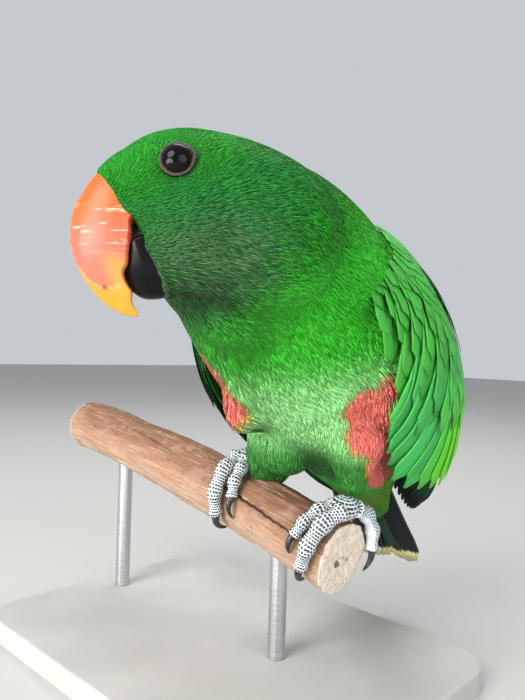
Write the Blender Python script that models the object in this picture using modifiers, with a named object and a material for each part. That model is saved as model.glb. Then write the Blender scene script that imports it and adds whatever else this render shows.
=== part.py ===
"""A life-size male eclectus parrot standing on a cut length of branch, held by a plain display stand.

Metres, +Z up. The origin is the centre of the base's underside. The branch runs along X, its near
end on +X and lower, and the feet face -Y, so the bird's left side is on +X. The head is turned to
the bird's right.
"""
import math

import bmesh
import bpy
import numpy as np
from mathutils import Matrix, Vector

GAP = 0.0003  # kept between neighbouring solids
UP = Vector((0, 0, 1))
WELD = 2e-6  # points closer than this are one
CLOSING_TRIES = [
    ("EXACT", WELD, "BEAUTY"),
    ("EXACT", 0, "BEAUTY"),
    ("EXACT", 0, "EAR_CLIP"),
    ("MANIFOLD", WELD, "BEAUTY"),
    ("MANIFOLD", 0, "BEAUTY"),
    ("MANIFOLD", 0, "EAR_CLIP"),
]
FAR = 0.6  # size of a cutter that stands for half of space

# Where the middle of the feet meets the branch's axis, and how the bird holds itself
PERCH_POINT = Vector((0.035, 0.0, 0.068))
BODY_SHIFT = 0.018  # the body leans to its left over the feet
BODY_YAW = 13.0  # degrees to the bird's left
HEAD_CENTRE = PERCH_POINT + Vector((0.046, -0.101, 0.131))  # midway between the eyes
HEAD_YAW = -36.0
HEAD_PITCH = -20.0

# Branch: s runs along it from the middle of the feet, towards its near end
PERCH_SLOPE = 11.0
PERCH_FROM = -0.166
PERCH_TO = 0.0355
PERCH_RADIUS = 0.0146
PERCH_ARCH = 0.0045

# Trunk and tail along their middle line: ahead, up, half width, half height
FORM = [
    (0.068, 0.120, 0.029, 0.029),
    (0.047, 0.108, 0.039, 0.033),
    (0.022, 0.095, 0.045, 0.038),
    (-0.004, 0.077, 0.045, 0.039),
    (-0.026, 0.056, 0.039, 0.034),
    (-0.044, 0.032, 0.028, 0.021),
    (-0.058, 0.013, 0.019, 0.012),
    (-0.078, -0.008, 0.018, 0.008),
    (-0.094, -0.024, 0.017, 0.006),
    (-0.108, -0.038, 0.015, 0.004),
]
TRUNK_ROWS = 8  # rows of FORM that are flesh

# The surface that the folded wings lie on, which stands off the rump
WING_FORM = FORM[:2] + [
    (0.022, 0.095, 0.047, 0.038),
    (-0.004, 0.077, 0.051, 0.040),
    (-0.026, 0.056, 0.050, 0.035),
    (-0.044, 0.032, 0.043, 0.026),
    (-0.058, 0.013, 0.033, 0.018),
    (-0.078, -0.008, 0.024, 0.011),
    (-0.094, -0.024, 0.019, 0.008),
    (-0.108, -0.038, 0.016, 0.006),
]

# Head sections, millimetres from the point between the eyes: ahead, top, bottom, half width
SKULL = [
    (21.5, 7.6, -3.0, 6.0),
    (18.0, 10.8, -13.0, 11.5),
    (13.0, 13.3, -31.0, 15.5),
    (6.0, 15.1, -36.0, 19.0),
    (-2.0, 14.9, -39.0, 21.0),
    (-10.0, 12.3, -41.0, 22.0),
    (-18.0, 8.2, -43.0, 23.5),
    (-26.0, 2.6, -44.0, 24.5),
    (-34.0, -5.0, -44.0, 24.0),
]

# Upper bill, millimetres: ridge ahead, ridge up, cutting edge ahead, cutting edge up, half width
UPPER_BILL = [
    (14.0, 11.0, 10.0, -7.0, 8.2),
    (23.0, 6.2, 17.2, -8.6, 9.0),
    (27.9, 2.4, 18.9, -11.7, 9.4),
    (31.6, -1.4, 20.4, -14.8, 9.1),
    (34.4, -7.0, 21.7, -17.4, 8.4),
    (35.7, -13.2, 22.8, -20.2, 7.4),
    (35.2, -19.0, 24.6, -22.4, 6.2),
    (33.9, -24.0, 24.6, -25.6, 5.0),
    (31.4, -29.2, 23.9, -28.2, 3.8),
    (28.0, -33.2, 24.5, -31.2, 2.3),
    (23.8, -35.6, 23.6, -34.6, 0.5),
]

# Lower bill, millimetres: keel ahead, keel up, rim ahead, rim up, half width
LOWER_BILL = [
    (9.0, -31.0, 9.0, -18.0, 8.0),
    (14.0, -32.4, 14.0, -15.5, 8.6),
    (18.0, -32.0, 18.2, -15.5, 8.2),
    (21.2, -30.6, 20.2, -17.0, 7.0),
    (23.2, -28.0, 21.6, -18.8, 5.6),
    (24.4, -25.0, 22.6, -20.4, 4.4),
    (24.9, -22.8, 23.6, -21.8, 2.6),
]

EYE_RADIUS = 0.0051
EYE_OUT = 0.0145  # from the middle of the head to the eyeball's centre
EYE_AHEAD = 0.001

for old in list(bpy.data.objects):
    bpy.data.objects.remove(old)

parrot = bpy.data.collections.new("eclectus_parrot")
cutters = bpy.data.collections.new("cutters")
for group in (parrot, cutters):
    bpy.context.scene.collection.children.link(group)


def directions(yaw, pitch):
    """Forward, left and up of something that faces -Y, turned left and then tipped up."""
    yaw, pitch = math.radians(yaw), math.radians(pitch)
    flat = Vector((math.sin(yaw), -math.cos(yaw), 0))
    left = Vector((math.cos(yaw), math.sin(yaw), 0))
    return flat * math.cos(pitch) + UP * math.sin(pitch), left, UP * math.cos(pitch) - flat * math.sin(pitch)


BODY_ORIGIN = PERCH_POINT + Vector((BODY_SHIFT, 0, 0))
BODY_AHEAD, BODY_LEFT, _ = directions(BODY_YAW, 0)
HEAD_AXES = directions(HEAD_YAW, HEAD_PITCH)


def in_body(ahead, left, up):
    return BODY_ORIGIN + BODY_AHEAD * ahead + BODY_LEFT * left + UP * up


def in_head(ahead, left, up):
    """A place in the head, given in millimetres."""
    return HEAD_CENTRE + (HEAD_AXES[0] * ahead + HEAD_AXES[1] * left + HEAD_AXES[2] * up) * 0.001


def between(rows, t):
    """A smooth curve through rows of numbers, t counted in rows."""
    rows = np.asarray(rows, dtype=float)
    i = int(min(max(math.floor(t), 0), len(rows) - 2))
    f = t - i
    p0, p1, p2 = rows[max(i - 1, 0)], rows[i], rows[i + 1]
    p3 = rows[min(i + 2, len(rows) - 1)]
    return 0.5 * (2 * p1 + (p2 - p0) * f + (2 * p0 - 5 * p1 + 4 * p2 - p3) * f ** 2
                  + (3 * p1 - p0 - 3 * p2 + p3) * f ** 3)


def ease(t):
    t = min(max(t, 0.0), 1.0)
    return t * t * (3 - 2 * t)


def make_object(name, bm, collection=parrot):
    mesh = bpy.data.meshes.new(name)
    bmesh.ops.triangulate(bm, faces=[f for f in bm.faces if len(f.verts) > 4])
    bmesh.ops.recalc_face_normals(bm, faces=bm.faces)
    bm.to_mesh(mesh)
    bm.free()
    obj = bpy.data.objects.new(name, mesh)
    collection.objects.link(obj)
    return obj


def loft(name, rings, collection=parrot):
    """A closed solid through rings of equally many points."""
    bm = bmesh.new()
    rows = [[bm.verts.new(p) for p in ring] for ring in rings]
    for a, b in zip(rows, rows[1:]):
        for i in range(len(a)):
            j = (i + 1) % len(a)
            bm.faces.new((a[i], a[j], b[j], b[i]))
    for row in (rows[0], rows[-1]):
        bm.faces.new(row)
    return make_object(name, bm, collection)


def circle(centre, side, up, width, height, count):
    turns = [2 * math.pi * i / count for i in range(count)]
    return [centre + side * width * math.cos(a) + up * height * math.sin(a) for a in turns]


def ellipsoid(name, centre, axes, radii, segments=24, collection=parrot):
    bm = bmesh.new()
    bmesh.ops.create_uvsphere(bm, u_segments=segments, v_segments=segments // 2, radius=1.0)
    turn = Matrix([[axis[i] * r for axis, r in zip(axes, radii)] for i in range(3)]).to_4x4()
    bmesh.ops.transform(bm, matrix=Matrix.Translation(centre) @ turn, verts=bm.verts)
    return make_object(name, bm, collection)


def tube(name, points, radii, sides, collection=parrot):
    """A tapering tube along points, with the same side kept up all the way."""
    rings = []
    side = None
    for i, point in enumerate(points):
        ahead = (points[min(i + 1, len(points) - 1)] - points[max(i - 1, 0)]).normalized()
        side = side or ahead.orthogonal().normalized()
        side = (side - ahead * side.dot(ahead)).normalized()
        rings.append(circle(point, side, ahead.cross(side), radii[i], radii[i], sides))
    return loft(name, rings, collection)


def as_cutter(obj):
    for group in list(obj.users_collection):
        group.objects.unlink(obj)
    cutters.objects.link(obj)
    obj.hide_render = True
    obj.display_type = "WIRE"
    return obj


def apply_modifiers(obj):
    bpy.context.view_layer.update()
    shape = obj.evaluated_get(bpy.context.evaluated_depsgraph_get())
    mesh = bpy.data.meshes.new_from_object(shape)
    obj.modifiers.clear()
    obj.data = mesh
    return obj


def drop_twins(bm):
    """Take away each pair of triangles with the same three corners, which bound nothing."""
    groups = {}
    for face in bm.faces:
        groups.setdefault(frozenset(face.verts), []).append(face)
    twins = [face for group in groups.values() if len(group) == 2 for face in group]
    bmesh.ops.delete(bm, geom=twins, context="FACES")


def make_triangles(obj, weld, method):
    """Make triangles, without slivers if weld is more than none; say if the shape is there and closed."""
    bm = bmesh.new()
    bm.from_mesh(obj.data)
    if weld:
        bmesh.ops.remove_doubles(bm, verts=bm.verts, dist=weld)
        bmesh.ops.triangulate(bm, faces=bm.faces, ngon_method=method)
        bmesh.ops.dissolve_degenerate(bm, edges=bm.edges, dist=weld)
    bmesh.ops.triangulate(bm, faces=bm.faces, ngon_method=method)
    drop_twins(bm)
    closed = len(bm.faces) > 0 and all(len(edge.link_faces) == 2 for edge in bm.edges)
    if closed:
        bm.to_mesh(obj.data)
    bm.free()
    return closed


def combine(obj, other, operation):
    """A Boolean by the exact solver, or by the manifold one where that leaves a crack or nothing."""
    before = obj.data
    for solver, weld, method in CLOSING_TRIES:
        obj.data = before
        modifier = obj.modifiers.new(operation.lower(), "BOOLEAN")
        modifier.operation = operation
        modifier.solver = solver
        if isinstance(other, bpy.types.Collection):
            modifier.operand_type = "COLLECTION"
            modifier.collection = other
        else:
            modifier.object = other
        apply_modifiers(obj)
        if make_triangles(obj, weld, method):
            break
    return obj


def join_all(obj, others):
    """Fuse closed pieces into one and take the pieces away."""
    pieces = bpy.data.collections.new("pieces")
    bpy.context.scene.collection.children.link(pieces)
    for other in others:
        for group in list(other.users_collection):
            group.objects.unlink(other)
        pieces.objects.link(other)
    combine(obj, pieces, "UNION")
    for other in others:
        bpy.data.objects.remove(other)
    bpy.data.collections.remove(pieces)
    return keep_largest(obj)


def keep_largest(obj):
    """Keep only the closed surface that holds the most."""
    bm = bmesh.new()
    bm.from_mesh(obj.data)
    left = set(bm.faces)
    best, best_size = [], 0.0
    while left:
        stack, shell = [left.pop()], []
        while stack:
            face = stack.pop()
            shell.append(face)
            for edge in face.edges:
                for near in edge.link_faces:
                    if near in left:
                        left.remove(near)
                        stack.append(near)
        size = sum(f.verts[0].co.dot(f.verts[1].co.cross(f.verts[2].co)) for f in shell) / 6
        if size > best_size:
            best, best_size = shell, size
    keep = set(best)
    bmesh.ops.delete(bm, geom=[f for f in bm.faces if f not in keep], context="FACES")
    loose = [v for v in bm.verts if not v.link_faces]
    bmesh.ops.delete(bm, geom=loose, context="VERTS")
    bm.to_mesh(obj.data)
    bm.free()
    return obj


def copy_of(obj, name, collection=parrot):
    new = bpy.data.objects.new(name, obj.data.copy())
    collection.objects.link(new)
    return new


def grown(obj, amount=GAP):
    """A cutter that is a little larger all round."""
    cutter = as_cutter(copy_of(obj, obj.name + "_room"))
    bm = bmesh.new()
    bm.from_mesh(cutter.data)
    moves = [vert.normal * amount * min(vert.calc_shell_factor(), 1.8) for vert in bm.verts]
    for vert, move in zip(bm.verts, moves):
        vert.co += move
    bm.to_mesh(cutter.data)
    bm.free()
    return cutter


def half_space(point, normal):
    """A large block on the side of a plane that its normal points to."""
    bm = bmesh.new()
    bmesh.ops.create_cube(bm, size=FAR)
    turn = normal.normalized().to_track_quat("Z", "Y").to_matrix().to_4x4()
    move = Matrix.Translation(point + normal.normalized() * (FAR + GAP) / 2) @ turn
    bmesh.ops.transform(bm, matrix=move, verts=bm.verts)
    return as_cutter(make_object("half_space", bm))


def block(centre, axes, sizes):
    bm = bmesh.new()
    bmesh.ops.create_cube(bm, size=1.0)
    turn = Matrix([[axis[i] * size for axis, size in zip(axes, sizes)] for i in range(3)]).to_4x4()
    bmesh.ops.transform(bm, matrix=Matrix.Translation(centre) @ turn, verts=bm.verts)
    return as_cutter(make_object("block", bm))


def paint(obj, colour, roughness, metallic=0.0):
    material = bpy.data.materials.new(obj.name)
    material.use_nodes = True
    shader = material.node_tree.nodes["Principled BSDF"]
    shader.inputs["Base Color"].default_value = (*colour, 1)
    shader.inputs["Roughness"].default_value = roughness
    shader.inputs["Metallic"].default_value = metallic
    obj.data.materials.clear()
    obj.data.materials.append(material)
    obj.data.shade_smooth()
    obj.data.set_sharp_from_angle(angle=math.radians(35))


# The branch

PERCH_ALONG = Vector((math.cos(math.radians(PERCH_SLOPE)), 0, -math.sin(math.radians(PERCH_SLOPE))))
PERCH_UP = Vector((-PERCH_ALONG.z, 0, PERCH_ALONG.x))
PERCH_BACK = Vector((0, 1, 0))


def perch_middle(s):
    bow = 1 - ((s + 0.05) / 0.12) ** 2
    return PERCH_POINT + PERCH_ALONG * s + PERCH_UP * PERCH_ARCH * bow


def perch_radius(s, turn):
    """The branch is a little uneven, thinner at its far end and with a low bump by the right foot."""
    bump = math.exp(-((s + 0.012) / 0.012) ** 2) * max(math.cos(turn - 0.2), 0) ** 2
    wave = math.sin(s * 61 + 2 * turn) + 0.7 * math.sin(s * 97 - 3 * turn + 1)
    return PERCH_RADIUS + 0.0012 * ease(s / 0.2 + 0.9) - 0.0008 + 0.00025 * wave + 0.0010 * bump


def on_perch(s, turn, lift):
    """A place above the bark; turn runs from the top towards the bird's front, in radians."""
    out = PERCH_UP * math.cos(turn) - PERCH_BACK * math.sin(turn)
    return perch_middle(s) + out * (perch_radius(s, turn) + lift)


def make_perch(rings=13, sides=18):
    rows = []
    for s in np.linspace(PERCH_FROM, PERCH_TO, rings):
        rows.append([on_perch(s, 2 * math.pi * i / sides, 0) for i in range(sides)])
    return loft("perch", rows)


# The body's form, as a place along its middle line, round it and out from it

FORM_LENGTH = np.concatenate([[0], np.cumsum(np.hypot(*np.diff(np.array(FORM)[:, :2], axis=0).T))])


def form_at(x, form=FORM):
    return between(form, float(np.interp(x, FORM_LENGTH, np.arange(len(form)))))


def on_body(x, round_angle, lift, side=1, form=FORM):
    """x from the shoulders back, round_angle in degrees up from the flank, lift out from the form."""
    a, z, width, height = form_at(x, form)
    step = form_at(x + 0.002, form) - form_at(x - 0.002, form)
    back = np.array([step[0], step[1]]) / math.hypot(step[0], step[1])
    c, s = math.cos(math.radians(round_angle)), math.sin(math.radians(round_angle))
    rise = (height + lift) * s
    # The back's upward direction is square to the middle line
    return in_body(a + back[1] * rise, side * (width + lift) * c, z - back[0] * rise)


def make_trunk():
    rings = []
    rump, end = FORM_LENGTH[TRUNK_ROWS - 3], FORM_LENGTH[TRUNK_ROWS - 1]
    for x in np.linspace(0, end, 12):
        lift = -0.0055 * ease((x - rump) / (end - rump))
        rings.append([on_body(x, 360 * i / 24, lift) for i in range(24)])
    return loft("trunk", rings)


def make_skull():
    rings = []
    for t in np.linspace(0, len(SKULL) - 1, 17):
        ahead, top, bottom, width = between(SKULL, t)
        centre = in_head(ahead, 0, (top + bottom) / 2)
        rings.append(circle(centre, HEAD_AXES[1], HEAD_AXES[2], width / 1000, (top - bottom) / 2000, 24))
    return loft("skull", rings)


def hip_of(side):
    return in_body(0.0, 0.003 + side * 0.018, 0.060)


FOOT_PLACE = {1: 0.031, -1: -0.027}  # where each foot stands along the branch


def ankle_of(side):
    return on_perch(FOOT_PLACE[side], -0.15, 0.0085)


def make_thigh(side):
    hip, ankle = hip_of(side), ankle_of(side)
    points = [hip.lerp(ankle, t) for t in (0.0, 0.3, 0.6, 0.85, 1.0)]
    return tube("thigh", points, [0.017, 0.016, 0.0110, 0.0075, 0.0055], 16)


def make_flesh():
    """Head, neck, trunk and thighs as one smooth form."""
    shells = [make_trunk(), make_skull(), make_thigh(1), make_thigh(-1)]
    neck = directions(-16, 10)
    shells.append(ellipsoid("nape", in_head(-20, 0, -25), neck, (0.023, 0.025, 0.024)))
    chest = directions(0, 20)
    middle = HEAD_CENTRE.lerp(in_body(0.047, 0.004, 0.113), 0.60) + UP * -0.008
    shells.append(ellipsoid("throat", middle, chest, (0.028, 0.027, 0.031)))
    flesh = shells[0]
    bm = bmesh.new()
    for shell in shells:
        bm.from_mesh(shell.data)
    bm.to_mesh(flesh.data)
    bm.free()
    for shell in shells[1:]:
        bpy.data.objects.remove(shell)
    remesh = flesh.modifiers.new("remesh", "REMESH")
    remesh.mode = "VOXEL"
    remesh.voxel_size = 0.003
    smooth = flesh.modifiers.new("smooth", "SMOOTH")
    smooth.iterations = 12
    fewer = flesh.modifiers.new("fewer", "DECIMATE")
    fewer.ratio = 0.16
    return as_cutter(apply_modifiers(flesh))


# The bill

def bill_ring(row, grow):
    ridge_ahead, ridge_up, edge_ahead, edge_up, width = row
    ridge, edge = in_head(ridge_ahead, 0, ridge_up), in_head(edge_ahead, 0, edge_up)
    out = (ridge - edge).normalized()
    ridge, edge, half = ridge + out * grow, edge - out * grow, width / 1000 + grow
    points = []
    for i in range(9):
        turn = math.pi * i / 8
        points.append(edge + (ridge - edge) * math.sin(turn) ** 0.9 + HEAD_AXES[1] * half * math.cos(turn))
    for i in range(1, 4):
        turn = math.pi * (1 + i / 4)
        points.append(edge + (ridge - edge) * 0.1 * math.sin(turn) + HEAD_AXES[1] * half * math.cos(turn))
    return points


def make_bill(name, rows, steps, grow=0.0):
    return loft(name, [bill_ring(between(rows, t), grow) for t in np.linspace(0, len(rows) - 1, steps)])


# Eyes and lids

def eye_centre(side):
    return in_head(EYE_AHEAD * 1000, side * EYE_OUT * 1000, 0)


def make_eye(side):
    name = "eye_left" if side > 0 else "eye_right"
    axes = (HEAD_AXES[0], HEAD_AXES[2], HEAD_AXES[1])
    return ellipsoid(name, eye_centre(side), axes, (EYE_RADIUS, EYE_RADIUS, EYE_RADIUS), 12)


def make_lid(side, major=0.0046, minor=0.0008):
    """A low ring round the eye, on the slope of the cheek."""
    out = (HEAD_AXES[1] * side * 1.0 + HEAD_AXES[2] * 0.30).normalized()
    over = HEAD_AXES[0]
    up = out.cross(over)
    centre = eye_centre(side) + out * 0.0034
    bm = bmesh.new()
    rings = []
    for i in range(20):
        turn = 2 * math.pi * i / 20
        spoke = over * math.cos(turn) + up * math.sin(turn) * 0.94
        ring = circle(centre + spoke * major, spoke, out, minor, minor, 6)
        rings.append([bm.verts.new(p) for p in ring])
    for a, b in zip(rings, rings[1:] + rings[:1]):
        for i in range(6):
            j = (i + 1) % 6
            bm.faces.new((a[i], a[j], b[j], b[i]))
    return make_object("lid", bm)


# Feet: for each toe, its name, sideways start, end along the branch, turn at the end and radii
TOES = [
    ("inner_front", -0.003, -0.010, 68, 0.0030, 0.0024),
    ("outer_front", 0.003, -0.003, 102, 0.0038, 0.0027),
    ("outer_rear", 0.003, 0.006, -88, 0.0035, 0.0026),
    ("inner_rear", -0.003, -0.006, -54, 0.0030, 0.0024),
]
TOE_STEPS = 7
CLAW_TURN = 36  # degrees round the branch
CLAW_STEPS = 5


def toe_points(side, toe):
    _, start, end, turn, thick, thin = toe
    turn = math.radians(turn)
    points, radii = [], []
    for i in range(TOE_STEPS):
        t = i / (TOE_STEPS - 1)
        radius = thick + (thin - thick) * t + 0.0002 * math.cos(t * 6 * math.pi)
        s = FOOT_PLACE[side] + side * (start + (end - start) * t)
        knuckle = 0.0012 * math.sin(math.pi * t)
        points.append(on_perch(s, turn * (0.1 + 0.9 * t), radius + 2 * GAP + knuckle + 0.002 * (1 - t) ** 2))
        radii.append(radius)
    return points, radii


def make_foot(side):
    name = "foot_left" if side > 0 else "foot_right"
    palm_axes = (PERCH_BACK, PERCH_ALONG, PERCH_UP)
    palm = ellipsoid(name, on_perch(FOOT_PLACE[side], 0, 0.0052), palm_axes, (0.0078, 0.0062, 0.0046), 14)
    toes = []
    for toe in TOES:
        points, radii = toe_points(side, toe)
        toes.append(tube("toe", points, radii, 6))
    return join_all(palm, toes)


def make_claw(side, toe):
    name = "claw_" + ("left_" if side > 0 else "right_") + toe[0]
    points, radii = toe_points(side, toe)
    turn_end = math.radians(toe[3])
    way = math.copysign(1, turn_end)
    s_end = FOOT_PLACE[side] + side * toe[2]
    s_step = side * (toe[2] - toe[1]) * 0.25
    rings, sizes = [], []
    for i in range(CLAW_STEPS):
        t = i / (CLAW_STEPS - 1)
        radius = radii[-1] * 0.72 * (1 - t) ** 0.8 + 0.00025
        turn = turn_end + way * math.radians(CLAW_TURN * t - 3)
        rise = 0.0018 * math.sin(math.pi * min(t * 1.1, 1.0)) + (radii[-1] - radius) * 0.5 * (1 - t)
        rings.append(on_perch(s_end + s_step * t, turn, radius + 2 * GAP + rise))
        sizes.append(radius)
    claw = tube(name, rings, sizes, 6)
    return keep_largest(combine(claw, foot_rooms[side], "DIFFERENCE"))


# Feathers

VANE_SHAPE = [(0.0, 0.55), (0.35, 0.92), (0.70, 1.0), (0.90, 0.80), (1.0, 0.34)]  # way along, share of width


def make_vane(place, width, thick, steps=5):
    """A blade with the same triangles on both faces; place gives a point from t, v and height."""
    bm = bmesh.new()
    rows = []
    for t in np.linspace(0, 1, steps):
        half = width / 2 * float(np.interp(t, *zip(*VANE_SHAPE)))
        depth = thick * (1 - 0.35 * t)
        tops = [bm.verts.new(place(t, v, 0.0002 * (v == 0))) for v in (-half, 0, half)]
        unders = [bm.verts.new(place(t, v, 0.0002 * (v == 0) - depth)) for v in (-half, 0, half)]
        rows.append((tops, unders))
    for (tops, unders), (next_tops, next_unders) in zip(rows, rows[1:]):
        for a, b in ((tops, next_tops), (unders, next_unders)):
            for i in (0, 1):
                bm.faces.new((a[i], a[i + 1], b[i + 1]))
                bm.faces.new((a[i], b[i + 1], b[i]))
        for i in (0, 2):
            bm.faces.new((tops[i], next_tops[i], next_unders[i]))
            bm.faces.new((tops[i], next_unders[i], unders[i]))
    for tops, unders in (rows[0], rows[-1]):
        for i in (0, 1):
            bm.faces.new((tops[i], tops[i + 1], unders[i + 1]))
            bm.faces.new((tops[i], unders[i + 1], unders[i]))
    return make_object("vane", bm)


# Along each wing: distance back, lowest and highest angle round the body, thickness.
# The left wing hangs over the flank, and the right one is held closer at its front and off the body behind
WING = {
    1: [
        (0.012, 8.0, 38.0, 0.0030),
        (0.024, -12.0, 56.0, 0.0062),
        (0.046, -30.0, 68.0, 0.0080),
        (0.072, -43.0, 74.0, 0.0078),
        (0.100, -51.0, 77.0, 0.0066),
        (0.126, -54.0, 79.0, 0.0056),
        (0.150, -50.0, 79.0, 0.0052),
        (0.176, -10.0, 78.0, 0.0050),
        (0.200, 26.0, 74.0, 0.0048),
    ],
    -1: [
        (0.012, 14.0, 38.0, 0.0030),
        (0.024, 10.0, 56.0, 0.0050),
        (0.046, 4.0, 68.0, 0.0068),
        (0.072, -14.0, 74.0, 0.0078),
        (0.100, -34.0, 77.0, 0.0090),
        (0.126, -30.0, 79.0, 0.0064),
        (0.150, -26.0, 79.0, 0.0052),
        (0.176, -10.0, 78.0, 0.0050),
        (0.200, 26.0, 74.0, 0.0048),
    ],
}
WING_X = [row[0] for row in WING[1]]
CORE_END = 0.136
ROOT_DEPTH = 0.004  # the core reaches this far into the trunk, and is cut by it


def wing_row(x, side):
    return between(WING[side], float(np.interp(x, WING_X, np.arange(len(WING_X)))))


def wing_thickness(x, angle, side):
    """How far the wing's outer face stands off its form."""
    _, low, high, thick = wing_row(x, side)
    t = min(max((angle - low) / (high - low), 0.0), 1.0)
    dome = (1 - abs(2 * t - 1) ** 2.6) ** 0.6
    return thick * (dome + (0.85 - dome) * ease((x - 0.112) / 0.03))


def wing_ring(x, side, half=8):
    _, low, high, _ = wing_row(x, side)
    to_trunk = form_at(x)[2] - form_at(x, WING_FORM)[2] - ROOT_DEPTH
    under = to_trunk + (-0.001 - to_trunk) * ease((x - 0.108) / 0.02)
    angles = np.linspace(low, high, half)
    tops = [max(wing_thickness(x, angle, side), under + 0.0008) for angle in angles]
    points = [on_body(x, angle, top, side, WING_FORM) for angle, top in zip(angles, tops)]
    return points + [on_body(x, angle, under, side, WING_FORM) for angle in reversed(angles)]


def between_two(first, last, share):
    return first + (last - first) * share


def wing_vane(side, root, tip, width, sink, rise, roll=0.0, thick=0.0007, steps=5):
    """A feather draped on the wing; root and tip are a distance back and an angle."""
    def place(t, v, height):
        x = root[0] + (tip[0] - root[0]) * t
        angle = root[1] + (tip[1] - root[1]) * t
        _, _, wide, tall = form_at(x, WING_FORM)
        turn = math.radians(angle)
        reach = math.hypot(wide * math.sin(turn), tall * math.cos(turn))
        angle += math.degrees(v / (reach + 0.006))
        lift = wing_thickness(x, angle, side) - sink + (rise + sink) * t + v * roll + height
        return on_body(x, angle, lift, side, WING_FORM)
    return make_vane(place, width, thick, steps)


# Rows of coverts: distance back, number, length, how far they sink and rise
COVERT_ROWS = [
    (0.020, 3, 0.032, 0.0014, 0.0013),
    (0.042, 4, 0.034, 0.0014, 0.0014),
    (0.064, 5, 0.040, 0.0014, 0.0016),
]
SECONDARIES = 7
PRIMARIES = 5
LOWEST = {1: (-28.0, -53.0), -1: (-6.0, -29.0)}  # angles of the lowest secondary's root and tip
HANGING = [((0.048, 10), (0.098, -36)), ((0.054, 4), (0.104, -44))]  # the right wing's outer feathers


def wing_feathers(side):
    vanes = []
    for row, (x, number, length, sink, rise) in enumerate(COVERT_ROWS):
        _, low, high, _ = wing_row(x + length / 2, side)
        pitch = (high - low) / number
        _, _, wide, tall = form_at(x + length / 2, WING_FORM)
        width = math.radians(pitch) * (wide + tall) / 2 * 0.94
        for i in range(number):
            angle = low + pitch * (i + (0.62 if row % 2 else 0.38))
            tip = (x + length * (1 + 0.04 * math.sin(5 * i + row)), angle + 3)
            vanes.append(wing_vane(side, (x, angle), tip, width, sink, rise, steps=4))
    for i in range(SECONDARIES):
        share = i / (SECONDARIES - 1)
        root = (0.078 + 0.010 * share, between_two(LOWEST[side][0], 66, share))
        back = 0.134 + 0.020 * math.sin(math.pi * (0.05 + 0.75 * share))
        tip = (back, between_two(LOWEST[side][1], 58, share))
        vanes.append(wing_vane(side, root, tip, 0.0145, 0.0012, 0.0008, roll=0.12))
    for i in range(PRIMARIES):
        share = i / (PRIMARIES - 1)
        root = (0.112, -4 + 58 * share)
        tip = (0.178 + 0.018 * math.sin(math.pi * (0.25 + 0.6 * share)), 36 + 34 * share)
        vanes.append(wing_vane(side, root, tip, 0.0105, 0.0042, -0.0038, roll=0.20, steps=4))
    if side < 0:
        vanes += [wing_vane(side, root, tip, 0.0100, 0.0008, 0.0024) for root, tip in HANGING]
    return vanes


def make_wing(side):
    name = "wing_left" if side > 0 else "wing_right"
    wing = loft(name, [wing_ring(x, side) for x in np.linspace(WING_X[0], CORE_END, 9)])
    return join_all(wing, wing_feathers(side))


# Tail feathers on each side, from the middle one out
TAIL_PAIRS = 6
TAIL_WIDTH = 0.0115
TAIL_LAYER = 0.00092  # each one lies this far under the one inside it


def tail_vane(side, k):
    start, end = FORM_LENGTH[5] + 0.003, FORM_LENGTH[-1] - 0.0009 * k ** 1.5
    tip_out = 0.0026 if (side, k) == (1, 0) else max(0.0032 + 0.0024 * k, TAIL_WIDTH / 2 + 0.0003)

    def place(t, v, height):
        x = start + (end - start) * t
        out = (0.0036 + 0.0009 * k) * (1 - t) + tip_out * t
        across = side * out + v
        a, z, _, _ = form_at(x)
        step = form_at(x + 0.002) - form_at(x - 0.002)
        back = step[:2] / np.hypot(*step[:2])
        layer = k + (0 if side > 0 or k > 0 else 0.999)
        rise = 0.0026 - TAIL_LAYER * layer - 0.0022 * (across / 0.02) ** 2 + height
        return in_body(a + back[1] * rise, across, z - back[0] * rise)
    return make_vane(place, TAIL_WIDTH, 0.0006, 4)


# The stand
BASE_SIZE = (0.210, 0.150, 0.010)
ROD_RADIUS = 0.004
ROD_PLACES = {"far": -0.125, "near": -0.001}


def make_base():
    bm = bmesh.new()
    bmesh.ops.create_cube(bm, size=1.0)
    bmesh.ops.scale(bm, vec=BASE_SIZE, verts=bm.verts)
    bmesh.ops.translate(bm, vec=(0, 0, BASE_SIZE[2] / 2), verts=bm.verts)
    upright = [e for e in bm.edges if abs(e.verts[0].co.z - e.verts[1].co.z) > 0.001]
    bmesh.ops.bevel(bm, geom=upright, offset=0.02, segments=5, affect="EDGES", profile=0.5)
    rims = [e for e in bm.edges if abs(e.verts[0].co.z - e.verts[1].co.z) < 1e-6
            and max(e.verts[0].co.z, e.verts[1].co.z) > BASE_SIZE[2] - 1e-6
            and len({round(f.normal.z, 2) for f in e.link_faces}) > 1]
    bmesh.ops.bevel(bm, geom=rims, offset=0.0012, segments=2, affect="EDGES", profile=0.5)
    return make_object("stand_base", bm)


def make_rod(name, s, perch_room):
    foot = perch_middle(s)
    bm = bmesh.new()
    bottom, top = BASE_SIZE[2] + GAP, foot.z
    bmesh.ops.create_cone(bm, cap_ends=True, segments=20, radius1=ROD_RADIUS, radius2=ROD_RADIUS,
                          depth=top - bottom)
    bmesh.ops.translate(bm, vec=(foot.x, foot.y, (top + bottom) / 2), verts=bm.verts)
    rod = make_object("stand_rod_" + name, bm)
    return keep_largest(combine(rod, perch_room, "DIFFERENCE"))


# Cuts between the head, neck, trunk and tail
HEAD_CUT = (in_head(-9, 0, -20), in_head(0.66, 0.25, 0.75) - HEAD_CENTRE)
NECK_CUT = (in_body(0.058, 0, 0.116), directions(3, 32)[0])
TAIL_CUT = (in_body(-0.044, 0, 0.032), directions(BODY_YAW, 45)[0] * -1)


def cut_out(name, flesh, keep, drop=()):
    piece = copy_of(flesh, name)
    for cutter in keep:
        combine(piece, cutter, "INTERSECT")
    for cutter in drop:
        combine(piece, cutter, "DIFFERENCE")
    return keep_largest(piece)


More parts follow.
